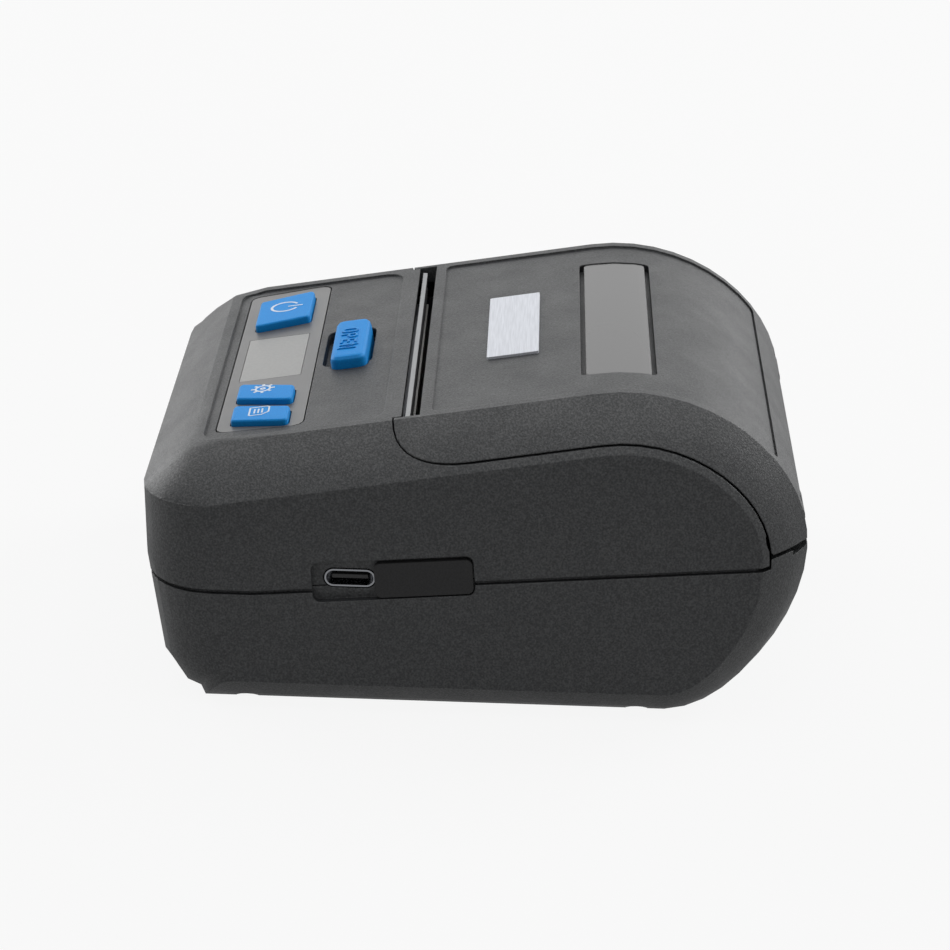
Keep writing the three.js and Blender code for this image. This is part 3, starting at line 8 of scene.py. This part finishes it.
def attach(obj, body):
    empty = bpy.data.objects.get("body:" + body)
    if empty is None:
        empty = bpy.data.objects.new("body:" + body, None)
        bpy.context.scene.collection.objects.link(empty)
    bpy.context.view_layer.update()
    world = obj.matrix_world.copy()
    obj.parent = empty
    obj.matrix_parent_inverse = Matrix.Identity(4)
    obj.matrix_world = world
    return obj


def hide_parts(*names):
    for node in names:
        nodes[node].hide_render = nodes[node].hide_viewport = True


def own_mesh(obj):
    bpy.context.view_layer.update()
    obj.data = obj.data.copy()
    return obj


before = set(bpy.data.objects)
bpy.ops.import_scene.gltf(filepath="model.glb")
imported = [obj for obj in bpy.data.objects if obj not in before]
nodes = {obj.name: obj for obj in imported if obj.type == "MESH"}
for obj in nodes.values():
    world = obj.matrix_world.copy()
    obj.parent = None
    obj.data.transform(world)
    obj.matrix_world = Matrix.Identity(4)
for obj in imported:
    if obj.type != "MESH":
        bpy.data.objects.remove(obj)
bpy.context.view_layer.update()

# %% [markdown]
# The camera stands where the photographer stood: low, and facing the side with the charging socket. The
# lens is long, so the printer shows little perspective. Its place and turn were worked out from the
# lines of the casing in the picture, and are given here as plain numbers, in millimetres and degrees.

# %% Camera
MM = 0.001
collection = bpy.context.scene.collection
camera = bpy.data.objects.new("camera", bpy.data.cameras.new("camera"))
collection.objects.link(camera)
camera.data.lens = 120.706
camera.data.sensor_width = 36
camera.location = Vector((561.886, 7.849, 252.509)) * MM
camera.rotation_euler = [math.radians(a) for a in (68.0099, -1.4076, 91.4516)]
camera.data.clip_start = 10 * MM
bpy.context.scene.camera = camera
print("camera", tuple(round(v, 3) for v in camera.location))

# %% [markdown]
# Two small helpers serve every finish. One turns an sRGB hex colour, as a paint chart gives it, into the
# linear numbers that a shader needs. The other adds one node with its settings and its links, so that a
# material reads as a short list. Sockets go by their names, with _ for a space in a link. Where several
# sockets of a node share one name, as on a maths node, they go by number: i0, i1 and i2.

# %% Helpers for colours and nodes
def linear(colour):
    parts = [int(colour[i:i + 2], 16) / 255 for i in (0, 2, 4)]
    return [c / 12.92 if c <= 0.04045 else ((c + 0.055) / 1.055) ** 2.4 for c in parts] + [1.0]


def add(tree, kind, settings=None, **links):
    node = tree.nodes.new(kind)

    def socket(name):
        numbered = name[0] == "i" and name[1:].isdigit()
        return node.inputs[int(name[1:])] if numbered else node.inputs.get(name.replace("_", " "))

    for name, value in (settings or {}).items():
        if socket(name) is None:
            setattr(node, name, value)
        else:
            socket(name).default_value = value
    for name, source in links.items():
        tree.links.new(source, socket(name))
    return node


# The two ends of the case's colour: the grain's pits are painted dark and its ridges light, as painted shade and
# light.
CASE_DARK, CASE_LIGHT = "202122", "323436"
print("case colours are", [[round(v, 4) for v in linear(c)[:3]] for c in (CASE_DARK, CASE_LIGHT)])

# %% [markdown]
# A finish starts as one Principled surface. Its fixed numbers (roughness, IOR, metallic) are written on
# the shader's own sockets, and a texture is only linked where the real surface changes from place to
# place. Texture coordinates are Object coordinates in metres, so a grain of 0.4 mm is a scale of 2500.
#
# Most surfaces here are moulded, and need two more things. A fine relief, as deep as the mould's, is given
# by a bump, and where edge_mm is given, a bevel of light rounds the edges that a mould can't make sharp. The
# colour follows the same relief as painted shade and light: the pits are painted a little darker than the ridges.

# %% Start of a finish
def surface(name, colour, roughness, metallic=0.0, **more):
    material = bpy.data.materials.new(name)
    material.use_nodes = True
    shader = material.node_tree.nodes["Principled BSDF"]
    shader.inputs["Base Color"].default_value = linear(colour)
    shader.inputs["Roughness"].default_value = roughness
    shader.inputs["Metallic"].default_value = metallic
    for socket, value in more.items():
        shader.inputs[socket.replace("_", " ")].default_value = value
    material.diffuse_color = linear(colour)
    return material, material.node_tree, shader


def grain(tree, shader, size_mm, depth_mm, strength, detail=2.0, edge_mm=0.0):
    place = add(tree, "ShaderNodeTexCoord")
    noise = add(tree, "ShaderNodeTexNoise", {"Scale": 1 / (size_mm * MM), "Detail": detail},
                Vector=place.outputs["Object"])
    bump = add(tree, "ShaderNodeBump", {"Distance": depth_mm * MM, "Strength": strength},
               Height=noise.outputs["Fac"])
    tree.links.new(bump.outputs["Normal"], shader.inputs["Normal"])
    if edge_mm:
        edge = add(tree, "ShaderNodeBevel", {"samples": 4, "Radius": edge_mm * MM})
        tree.links.new(edge.outputs["Normal"], bump.inputs["Normal"])
    return place, noise


# Paints the low parts of a relief darker and the high parts lighter: painted shade and light in the colour.
def paint_relief_shade(tree, shader, source, dark, light, low=0.35, high=0.65):
    ramp = add(tree, "ShaderNodeValToRGB", Fac=source)
    ramp.color_ramp.elements[0].position = low
    ramp.color_ramp.elements[1].position = high
    ramp.color_ramp.elements[0].color = linear(dark)
    ramp.color_ramp.elements[1].color = linear(light)
    tree.links.new(ramp.outputs["Color"], shader.inputs["Base Color"])


# %% [markdown]
# The case is black ABS from a spark-eroded mould. Sparks leave tiny craters in the steel, so the plastic
# comes out with a fine grain that scatters light: matt from the front, and paler at a low angle. The
# real grain is about 0.1 mm. It is drawn at 0.32 mm here, or it would vanish at this picture size. Here
# and there one crater's rim faces the lamp and sparkles, which a second noise gives. A third and far
# larger one makes the roughness drift a little over each face, as handling does.

# %% Spark-eroded ABS of the case
CASE_ROUGHNESS = 0.5
GLINT_MM, PATCH_MM = 0.36, 25 / 3
case_abs, tree, shader = surface("spark_eroded_black_abs", CASE_DARK, CASE_ROUGHNESS, IOR=1.5)
place, noise = grain(tree, shader, size_mm=0.32, depth_mm=0.1, strength=0.7, detail=3.0, edge_mm=0.3)
# The grain's pits are painted darker than its ridges: painted shade.
paint_relief_shade(tree, shader, noise.outputs["Fac"], CASE_DARK, CASE_LIGHT, low=0.38, high=0.7)
patches = add(tree, "ShaderNodeTexNoise", {"Scale": 1 / (PATCH_MM * MM), "Detail": 3.0},
              Vector=place.outputs["Object"])
spread = add(tree, "ShaderNodeMapRange",
             {"From Min": 0.3, "From Max": 0.7, "To Min": CASE_ROUGHNESS - 0.04, "To Max": CASE_ROUGHNESS + 0.06},
             Value=patches.outputs["Fac"])
tree.links.new(spread.outputs["Result"], shader.inputs["Roughness"])
sparse = add(tree, "ShaderNodeTexNoise", {"Scale": 1 / (GLINT_MM * MM), "Detail": 1.0},
             Vector=place.outputs["Object"])
glint = add(tree, "ShaderNodeMapRange", {"From Min": 0.4, "From Max": 0.68, "To Min": 0.42, "To Max": 0.72},
            Value=sparse.outputs["Fac"])
tree.links.new(glint.outputs["Result"], shader.inputs["Specular IOR Level"])
print("case finish", case_abs.name, "with", len(tree.nodes), "nodes")

# %% [markdown]
# The keys are blue ABS with a satin face. The grain is finer than the case's, so it gives only a soft
# bloom under the lamp.

# %% Satin ABS of the keys
key_abs, tree, shader = surface("satin_blue_abs", "008fe0", 0.5, IOR=1.45, Specular_IOR_Level=0.3)
_, noise = grain(tree, shader, size_mm=0.2, depth_mm=0.01, strength=0.4, edge_mm=0.25)
# Painted shade in the pits of the keys' grain.
paint_relief_shade(tree, shader, noise.outputs["Fac"], "0089dc", "0095e6")
print("key finish", key_abs.name, "with", len(tree.nodes), "nodes")

# %% [markdown]
# The panel's overlay is a polycarbonate film, printed dark grey on its back and glossy in front. Behind
# its clear part is the display, which is off and shows as a pale grey pane. Both are nearly flat: a very
# shallow, wide relief breaks the reflection up a little, as on any film that is stuck down.

# %% Overlay film and display pane
overlay_film, tree, shader = surface("printed_polycarbonate_film", "5e5e5e", 0.36, IOR=1.58)
grain(tree, shader, size_mm=0.5, depth_mm=0.004, strength=0.3)
display_pane, tree, shader = surface("unlit_display_pane", "939391", 0.34, IOR=1.52)
_, noise = grain(tree, shader, size_mm=0.6, depth_mm=0.002, strength=0.2)
# Painted shade in the hollows of the pane's faint relief.
paint_relief_shade(tree, shader, noise.outputs["Fac"], "919190", "979795")
print("panel finishes", overlay_film.name, display_pane.name)

# %% [markdown]
# Drawn, ground and brushed metal is marked by lines that all run one way. A noise that is squeezed along
# one axis gives them: the small number in `along` is the axis that the lines follow. Real lines are some
# hundredths of a millimetre apart, and are drawn wider here so that they show. The bare aluminium plate
# on the cover is brushed along X. Next to it lies a smoked acrylic window strip, polished in its mould.

# %% Window strip and bare plate
LINE_DEPTH_MM = 0.01


def lines_along(tree, shader, along, line_mm, strength):
    place = add(tree, "ShaderNodeTexCoord")
    stretch = add(tree, "ShaderNodeMapping", {"Scale": along}, Vector=place.outputs["Object"])
    lines = add(tree, "ShaderNodeTexNoise", {"Scale": 1 / (line_mm * MM), "Detail": 2.0},
                Vector=stretch.outputs["Vector"])
    bump = add(tree, "ShaderNodeBump", {"Distance": LINE_DEPTH_MM * MM, "Strength": strength},
               Height=lines.outputs["Fac"])
    tree.links.new(bump.outputs["Normal"], shader.inputs["Normal"])
    return lines


window_acrylic, tree, shader = surface("smoked_acrylic", "4a4a4a", 0.22, IOR=1.49)
grain(tree, shader, size_mm=0.8, depth_mm=0.002, strength=0.15, edge_mm=0.5)
plate_metal, tree, shader = surface("brushed_aluminium_plate", "d2d5dc", 0.45, 0.3)
lines = lines_along(tree, shader, (0.04, 1, 1), line_mm=0.25, strength=0.3)
# Painted shade in the grooves of the brushed lines.
paint_relief_shade(tree, shader, lines.outputs["Fac"], "cbced5", "d9dce3")
print("cover finishes", window_acrylic.name, plate_metal.name)

# %% [markdown]
# The socket's shutter and the roller are black rubber, one cast with a texture and one ground smooth. The
# rest shows only when the cover is open or a part is taken out: glass-filled nylon for the frame, acetal
# gears that are left in their natural cream colour, boards under green solder mask, a battery in blue
# shrink film, a white ceramic print strip, and steel that is drawn, ground or plated. Each plastic is a
# grain with painted shade in its pits. Each metal has lines, and is a little rougher on some lines than
# on others.

# %% Rubber, steel and the inner plastics
STEEL_LINE_MM = 1 / 3
ALONG_X, ALONG_Z = (0.05, 1, 1), (1, 1, 0.05)


def grained(name, colour, roughness, size_mm, depth_mm, dark, light):
    material, tree, shader = surface(name, colour, roughness)
    _, noise = grain(tree, shader, size_mm, depth_mm, 0.5)
    # Painted shade in the pits of each plastic's grain.
    paint_relief_shade(tree, shader, noise.outputs["Fac"], dark, light)
    return material


def drawn_steel(name, colour, roughness, along=ALONG_Z):
    material, tree, shader = surface(name, colour, roughness, 1.0)
    lines = lines_along(tree, shader, along, STEEL_LINE_MM, 0.35)
    spread = add(tree, "ShaderNodeMapRange", {"To Min": roughness - 0.08, "To Max": roughness + 0.1},
                 Value=lines.outputs["Fac"])
    tree.links.new(spread.outputs["Result"], shader.inputs["Roughness"])
    return material


shutter_rubber = grained("fine_cast_rubber", "191a1b", 0.8, 0.3, 0.12, "101011", "1e1e1f")
roller_rubber = grained("ground_silicone_rubber", "1a1a1a", 0.7, 0.12, 0.01, "151515", "202020")
inner_plastic = grained("glass_filled_nylon", "303136", 0.55, 0.35, 0.02, "2b2c30", "37383d")
bucket_plastic = grained("moulded_bucket_abs", "232325", 0.5, 0.3, 0.02, "1f1f21", "29292b")
acetal = grained("natural_acetal", "e6e3da", 0.42, 0.4, 0.005, "e0ddd4", "ece9e1")
board_laminate = grained("green_solder_mask", "1d5c3a", 0.35, 0.8, 0.01, "19543a", "216440")
battery_wrap = grained("battery_shrink_film", "24466e", 0.3, 2.5, 0.02, "213f66", "284d78")
dark_moulding = grained("black_pbt_moulding", "1b1b1c", 0.5, 0.25, 0.01, "161617", "222223")
ceramic = grained("glazed_alumina", "e9e9e4", 0.25, 0.5, 0.004, "e4e4de", "efefea")
sink_aluminium = drawn_steel("extruded_aluminium", "a8abb0", 0.4, (0.04, 1, 1))
bright_steel = drawn_steel("drawn_spring_steel", "b9bcc0", 0.32)
stamped_steel = drawn_steel("blackened_tear_steel", "8a8b8c", 0.55, ALONG_X)
turned_steel = drawn_steel("ground_shaft_steel", "bfc2c6", 0.28, ALONG_X)
nickel_shell = drawn_steel("nickel_plated_shell", "8e9094", 0.25)
screw_steel = drawn_steel("zinc_plated_screws", "a9acb2", 0.35)
motor_can = drawn_steel("zinc_plated_can", "9ea1a6", 0.38, ALONG_X)
pinion_brass = drawn_steel("cut_brass", "b9964a", 0.3, ALONG_X)
print("finishes:", len(bpy.data.materials))

# %% [markdown]
# Each part of the CAD model gets its finish by name. The line printed at the end names any part that was
# forgotten, and should be empty.

# %% Finishes of the CAD parts
FINISHES = (
    (case_abs, ("paper_cover", "upper_case", "lower_case", "battery_door")),
    (key_abs, ("power_button", "settings_button", "feed_button", "release_button")),
    (overlay_film, ("panel_overlay",)),
    (display_pane, ("display_lens",)),
    (window_acrylic, ("window_insert",)),
    (plate_metal, ("label_plate",)),
    (shutter_rubber, ("socket_shutter",)),
    (roller_rubber, ("platen_rubber",)),
    (inner_plastic, ("mechanism_frame", "release_lever", "roller_bracket")),
    (bucket_plastic, ("paper_bucket",)),
    (acetal, ("platen_gear", "first_idler_gear", "second_idler_gear", "platen_bush_far", "platen_bush_near")),
    (board_laminate, ("control_board", "main_board")),
    (battery_wrap, ("battery_pack",)),
    (dark_moulding, ("display_module", "power_switch", "settings_switch", "feed_switch", "socket_tongue")),
    (ceramic, ("thermal_strip",)),
    (sink_aluminium, ("heat_sink",)),
    (bright_steel, ("release_spring", "head_spring_far", "head_spring_near")),
    (stamped_steel, ("tear_bar",)),
    (turned_steel, ("platen_shaft", "hinge_shaft", "first_idler_axle", "second_idler_axle")),
    (nickel_shell, ("socket_shell",)),
    (motor_can, ("stepper_motor",)),
    (pinion_brass, ("motor_pinion",)),
    (screw_steel, tuple(n for n in nodes if "screw" in n)),
)
finished = set()
for material, names in FINISHES:
    for name in names:
        node = nodes[name]
        if not node.material_slots:
            node.data.materials.append(material)
        for slot in node.material_slots:
            slot.material = material
        finished.add(name)
print("unfinished CAD parts:", sorted(set(nodes) - finished))

# %% [markdown]
# The CAD solids are made of flat facets. Real moulded shells are round there, so a shading modifier rounds
# the light over the facets, and keeps an edge wherever two of them meet at more than 25 degrees. It
# changes how light falls, and not the shape. Geometry nodes do it without touching the mesh: they weld the
# points of neighbouring facets, mark all faces smooth, and mark the steep edges sharp.

# %% Smooth light over the facets
SHARP_DEGREES = 25
WELD_MM = 0.001
shading = bpy.data.node_groups.new("shade_by_angle", "GeometryNodeTree")
shading.interface.new_socket("Geometry", in_out="INPUT", socket_type="NodeSocketGeometry")
shading.interface.new_socket("Geometry", in_out="OUTPUT", socket_type="NodeSocketGeometry")
start = add(shading, "NodeGroupInput")
welded = add(shading, "GeometryNodeMergeByDistance", {"Distance": WELD_MM * MM}, Geometry=start.outputs[0])
faces = add(shading, "GeometryNodeSetShadeSmooth", {"domain": "FACE", "Shade Smooth": True},
            Geometry=welded.outputs[0])
angle = add(shading, "GeometryNodeInputMeshEdgeAngle")
sharp = add(shading, "ShaderNodeMath", {"operation": "GREATER_THAN", "i1": math.radians(SHARP_DEGREES)},
            i0=angle.outputs[0])
edges = add(shading, "GeometryNodeSetShadeSmooth", {"domain": "EDGE", "Shade Smooth": False},
            Geometry=faces.outputs[0], Selection=sharp.outputs[0])
add(shading, "NodeGroupOutput", None, i0=edges.outputs[0])


def smooth_light(piece):
    piece.modifiers.new("shade by angle", "NODES").node_group = shading
    piece.modifiers.new("even normals", "WEIGHTED_NORMAL").keep_sharp = True


for node in nodes.values():
    smooth_light(node)
print("shaded", len(nodes))

# %% [markdown]
# The front of the upper case rolls over from its upright band into the slope. The solid goes there in
# straight steps with a slight hollow, so a copy stands in for it, with the hollow filled out into one soft
# curve. Moving the copy's points outward by a smooth amount is enough, and keeps every other line of the
# case. The fill starts at the band's top edge, is fullest a little above it, and ends before the panel.
# In plan the points move away from the front line, and round the front corners away from their centres.

# %% Rolled front edge
ROLL_FOOT, ROLL_TOP, ROLL_FILL = 38.6, 45.0, 3.2
ROLL_FALL = 1.3
CORNER = Vector((39.0, -47.0))
CORNER_FADE = 6.0


def rolled(point):
    x, y, z = (value / MM for value in point)
    rise = min(max((z - ROLL_FOOT) / (ROLL_TOP - ROLL_FOOT), 0), 1)
    out = Vector((math.copysign(max(abs(x) - CORNER.x, 0), x), min(y - CORNER.y, 0), 0))
    share = min(-out.y / CORNER_FADE, 1)
    fill = ROLL_FILL * math.sqrt(rise) * (1 - rise) ** ROLL_FALL * share
    return point + out.normalized() * fill * MM


rolled_case = bpy.data.objects.new("rolled_upper_case", nodes["upper_case"].data.copy())
collection.objects.link(rolled_case)
for vertex in rolled_case.data.vertices:
    vertex.co = rolled(vertex.co)
smooth_light(rolled_case)
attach(rolled_case, "case")
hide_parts("upper_case")
print("rolled", sum(rolled(v.co) != v.co for v in nodes["upper_case"].data.vertices), "points")

# %% [markdown]
# The panel slopes up towards the paper end at 9.8 degrees. Everything printed or raised on it is drawn in
# the panel's own millimetres, x across and y up the slope, and laid on top of the key that carries it. A
# sign is drawn as a pen would: each stroke is a list of points, its width, and whether it closes. It
# becomes a bar with four sides, mitred where it bends, so that print and letters are real geometry.

# %% Strokes on the panel
PANEL_HEIGHT, PANEL_DEGREES = 55.2, 9.8
PANEL = Matrix.Translation((0, 0, PANEL_HEIGHT * MM)) @ Matrix.Rotation(math.radians(PANEL_DEGREES), 4, "X")
LEVEL = PANEL.inverted()
LEAST_MITRE = 0.5


def top_of(name):
    return max((LEVEL @ v.co).z for v in nodes[name].data.vertices) / MM


def stroke(shape, points, width, low, high, closed):
    count = len(points)
    rings = []
    for i, point in enumerate(points):
        before = points[i - 1] if closed or i else point
        after = points[(i + 1) % count] if closed or i < count - 1 else point
        a = (Vector(point) - Vector(before)).normalized() if before != point else None
        b = (Vector(after) - Vector(point)).normalized() if after != point else None
        along = ((a or b) + (b or a)).normalized()
        reach = width / 2 / max(LEAST_MITRE, along.dot(a or b))
        side = Vector((-along.y, along.x)) * reach
        left, right = Vector(point) + side, Vector(point) - side
        rings.append([shape.verts.new((q.x, q.y, z)) for q, z in
                      ((left, low), (right, low), (right, high), (left, high))])
    for i in range(count if closed else count - 1):
        one, two = rings[i], rings[(i + 1) % count]
        for k in range(4):
            shape.faces.new((one[k], one[(k + 1) % 4], two[(k + 1) % 4], two[k]))
    if not closed:
        shape.faces.new(rings[0][::-1])
        shape.faces.new(rings[-1])


def laid(shape, name, body, material, centre):
    onto = PANEL @ Matrix.Scale(MM, 4) @ Matrix.Translation((*centre, 0))
    bmesh.ops.transform(shape, matrix=onto, verts=shape.verts)
    mesh = bpy.data.meshes.new(name)
    shape.to_mesh(mesh)
    shape.free()
    mesh.materials.append(material)
    piece = bpy.data.objects.new(name, mesh)
    collection.objects.link(piece)
    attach(piece, body)
    return piece


def drawn(name, body, material, strokes, centre, low, high, edge=0.0):
    shape = bmesh.new()
    for points, width, closed in strokes:
        stroke(shape, points, width, low, high, closed)
    bmesh.ops.recalc_face_normals(shape, faces=shape.faces)
    if edge:
        bmesh.ops.bevel(shape, geom=shape.edges[:], offset=edge, segments=2, affect="EDGES")
    return laid(shape, name, body, material, centre)


KEYS = ("power_button", "feed_button", "release_button")
print("key tops, mm above the panel:", {name: round(top_of(name), 2) for name in KEYS})

# %% [markdown]
# The three keys carry white pad-printed signs: a ring and bar for power, a gear for settings and a
# sheet of paper for feed. The ink stands 0.04 mm proud. Its edge is sunk as far into the key, so that no
# gap shows under it.

# %% Signs on the keys
INK_HIGH = 0.04
white_ink = grained("white_pad_ink", "dfe9f5", 0.5, 0.15, 0.005, "d6e2f0", "e8f0f8")


def arc(radius, start, end, steps):
    turns = (math.radians(start + (end - start) * i / steps) for i in range(steps + 1))
    return [(radius * math.cos(turn), radius * math.sin(turn)) for turn in turns]


def spoke(low, high, degrees):
    turn = math.radians(degrees)
    return [(radius * math.cos(turn), radius * math.sin(turn)) for radius in (low, high)]


power_sign = [(arc(2.6, 118, 422, 40), 0.5, False), ([(0, 0.6), (0, 3.5)], 0.42, False)]
gear_rings = [(arc(1.35, 0, 345, 23), 0.42, True), (arc(0.35, 0, 345, 11), 0.4, True)]
gear_sign = gear_rings + [(spoke(1.5, 2.2, degrees), 0.5, False) for degrees in range(0, 360, 45)]
sheet_outline = [(-1.9, -1.7), (1.7, -1.7), (2.0, -1.4), (2.0, 0.6), (0.9, 1.8), (-1.5, 1.8), (-1.9, 1.4)]
sheet_lines = [([(-1.0, y), (1.1, y)], 0.3, False) for y in (-0.8, -0.1, 0.6)]
sheet_sign = [(sheet_outline, 0.3, True)] + sheet_lines
SIGNS = (("power", power_sign, (-25.4, -39.5)), ("settings", gear_sign, (19.4, -40.0)),
         ("feed", sheet_sign, (30.9, -39.7)))
for name, sign, centre in SIGNS:
    top = top_of(name + "_button")
    drawn(name + "_sign", name, white_ink, sign, centre, top - INK_HIGH, top + INK_HIGH)
print("signs:", [name for name, sign, centre in SIGNS])

# %% [markdown]
# The release button has the word OPEN moulded on it, 3.2 mm high and raised 0.2 mm, in the button's own
# plastic. It reads along X, with the tops of its letters towards the paper end. A mould leaves soft edges
# on such letters, so they are bevelled.

# %% Raised letters on the release button
LETTER_LINE, LETTER_PITCH = 0.55, 2.98
LETTER_ROOT, LETTER_RAISED, LETTER_EDGE = 0.1, 0.2, 0.07
WORD_CENTRE = Vector((1.3, -25.0))
LETTERS = {
    "O": [([(-0.45, -1.35), (0.45, -1.35), (0.85, -0.95), (0.85, 0.95),
            (0.45, 1.35), (-0.45, 1.35), (-0.85, 0.95), (-0.85, -0.95)], True)],
    "P": [([(-0.8, -1.6), (-0.8, 1.35), (0.45, 1.35), (0.85, 0.95), (0.85, 0.3), (0.45, -0.1), (-0.6, -0.1)],
           False)],
    "E": [([(0.9, -1.35), (-0.8, -1.35), (-0.8, 1.35), (0.9, 1.35)], False), ([(-0.6, 0), (0.65, 0)], False)],
    "N": [([(-0.8, -1.6), (-0.8, 1.5), (0.8, -1.5), (0.8, 1.6)], False)],
}
top = top_of("release_button")
for i, letter in enumerate("OPEN"):
    strokes = [(points, LETTER_LINE, closed) for points, closed in LETTERS[letter]]
    centre = WORD_CENTRE + Vector((LETTER_PITCH * (i - 1.5), 0))
    raised = drawn("letter_" + letter.lower(), "release", key_abs, strokes, centre,
                   top - LETTER_ROOT, top + LETTER_RAISED, LETTER_EDGE)
print("letters on a top of", round(top, 2), "mm")

# %% [markdown]
# Under the release button sits its return spring: 0.5 mm wire in four turns, 5.4 mm across from wire to
# wire. The CAD has a plainer coil there. This one is rounder, stands in the same place, and is drawn at
# its free length of 5.6 mm. It doesn't shorten as the button goes down, though the real one shortens to
# 3.6 mm at the end of its travel.

# %% Return spring
SPRING_AT, SPRING_FOOT, SPRING_LONG = (1.7, -25.5), -11.6, 5.6
SPRING_RADIUS, WIRE_RADIUS, SPRING_TURNS = 2.7, 0.25, 4
STEPS_A_TURN, WIRE_SIDES = 32, 10


def wire_ring(shape, turn, height):
    ring = []
    for k in range(WIRE_SIDES):
        a = 2 * math.pi * k / WIRE_SIDES
        out, rise = SPRING_RADIUS + WIRE_RADIUS * math.cos(a), WIRE_RADIUS * math.sin(a)
        ring.append(shape.verts.new((out * math.cos(turn), out * math.sin(turn), height + rise)))
    return ring


shape = bmesh.new()
steps = STEPS_A_TURN * SPRING_TURNS
first, climb = SPRING_FOOT + WIRE_RADIUS, SPRING_LONG - 2 * WIRE_RADIUS
rings = [wire_ring(shape, 2 * math.pi * i / STEPS_A_TURN, first + climb * i / steps) for i in range(steps + 1)]
for one, two in zip(rings, rings[1:]):
    for k in range(WIRE_SIDES):
        after = (k + 1) % WIRE_SIDES
        shape.faces.new((one[k], one[after], two[after], two[k])).smooth = True
shape.faces.new(rings[0][::-1])
shape.faces.new(rings[-1])
bmesh.ops.recalc_face_normals(shape, faces=shape.faces)
return_spring = laid(shape, "return_spring", "case", bright_steel, SPRING_AT)
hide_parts("release_spring")
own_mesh(return_spring)

# %% [markdown]
# The floor is a large pale sheet, as in a product picture. Part of it glows and part takes light and
# shadow, and the share depends on who looks: the camera sees it nearly white with the printer's shadow,
# a reflection sees half of that, and diffuse light gets almost none of the glow, so that it doesn't flood
# the object from below.

# %% Floor
FLOOR_SIZE, FLOOR_DROP_MM = 8, 0.2
REFLECTED_SHARE = 0.5
GLOW_SHARE, GLOW_LEAST = 0.85, 0.05
paper = bpy.data.materials.new("white_paper_sweep")
paper.use_nodes = True
tree = paper.node_tree
shader = tree.nodes["Principled BSDF"]
shader.inputs["Base Color"].default_value = linear("c0c0c0")
shader.inputs["Roughness"].default_value = 0.9
glow = add(tree, "ShaderNodeEmission", {"Color": (1, 1, 1, 1), "Strength": 1.0})
rays = add(tree, "ShaderNodeLightPath")
seen = add(tree, "ShaderNodeMath", {"operation": "MULTIPLY_ADD", "i1": REFLECTED_SHARE},
           i0=rays.outputs["Is Glossy Ray"], i2=rays.outputs["Is Camera Ray"])
share = add(tree, "ShaderNodeMath", {"operation": "MULTIPLY_ADD", "i1": GLOW_SHARE, "i2": GLOW_LEAST},
            i0=seen.outputs[0])
mix = add(tree, "ShaderNodeMixShader", None, i0=share.outputs[0], i1=shader.outputs[0], i2=glow.outputs[0])
tree.links.new(mix.outputs[0], tree.nodes["Material Output"].inputs["Surface"])

bpy.ops.mesh.primitive_plane_add(size=FLOOR_SIZE, location=(0, 0, -FLOOR_DROP_MM * MM))
floor = bpy.context.object
floor.name = "floor"
floor.data.materials.append(paper)
print("floor is", FLOOR_SIZE, "m wide")

# %% [markdown]
# The world is white to the camera and to reflections, and dim to everything else, so that the lamps shape
# the object. Five softboxes stand round it: one overhead, three on the far side, where the light of the
# picture comes from, and a weak one near the camera that opens up the dark side.

# %% World and lamps
WORLD_STRENGTH = 0.1
world = bpy.data.worlds.new("studio")
bpy.context.scene.world = world
world.use_nodes = True
tree = world.node_tree
back = tree.nodes["Background"]
back.inputs["Color"].default_value = (1, 1, 1, 1)
back.inputs["Strength"].default_value = WORLD_STRENGTH
white = add(tree, "ShaderNodeBackground", {"Color": (1, 1, 1, 1), "Strength": 1.0})
rays = add(tree, "ShaderNodeLightPath")
seen = add(tree, "ShaderNodeMath", {"operation": "MAXIMUM"},
           i0=rays.outputs["Is Camera Ray"], i1=rays.outputs["Is Glossy Ray"])
mix = add(tree, "ShaderNodeMixShader", None, i0=seen.outputs[0], i1=back.outputs[0], i2=white.outputs[0])
tree.links.new(mix.outputs[0], tree.nodes["World Output"].inputs["Surface"])


def softbox(name, place, target, wide, high, watts):
    data = bpy.data.lights.new(name, "AREA")
    data.energy = watts
    data.shape = "RECTANGLE"
    data.size, data.size_y = wide, high
    light = bpy.data.objects.new(name, data)
    collection.objects.link(light)
    light.location = place
    light.rotation_euler = (Vector(target) - Vector(place)).to_track_quat("-Z", "Y").to_euler()


softbox("overhead_softbox", place=(0.05, 0, 1.0), target=(0, 0, 0.03), wide=1.0, high=1.0, watts=4.2)
softbox("far_softbox", place=(-1.0, 0.05, 0.35), target=(0, 0, 0.03), wide=1.4, high=0.5, watts=0.8)
softbox("rear_softbox", place=(-0.55, 0.85, 0.6), target=(0, 0.04, 0.04), wide=0.6, high=0.6, watts=7.0)
softbox("front_softbox", place=(-0.6, -0.85, 0.35), target=(0, -0.03, 0.04), wide=0.7, high=0.7, watts=5.2)
softbox("camera_fill", place=(0.9, -0.1, 0.35), target=(0, 0, 0.02), wide=0.7, high=0.7, watts=0.12)
bpy.context.scene.view_settings.view_transform = "Standard"
print("lamps:", [light.name for light in bpy.data.lights])
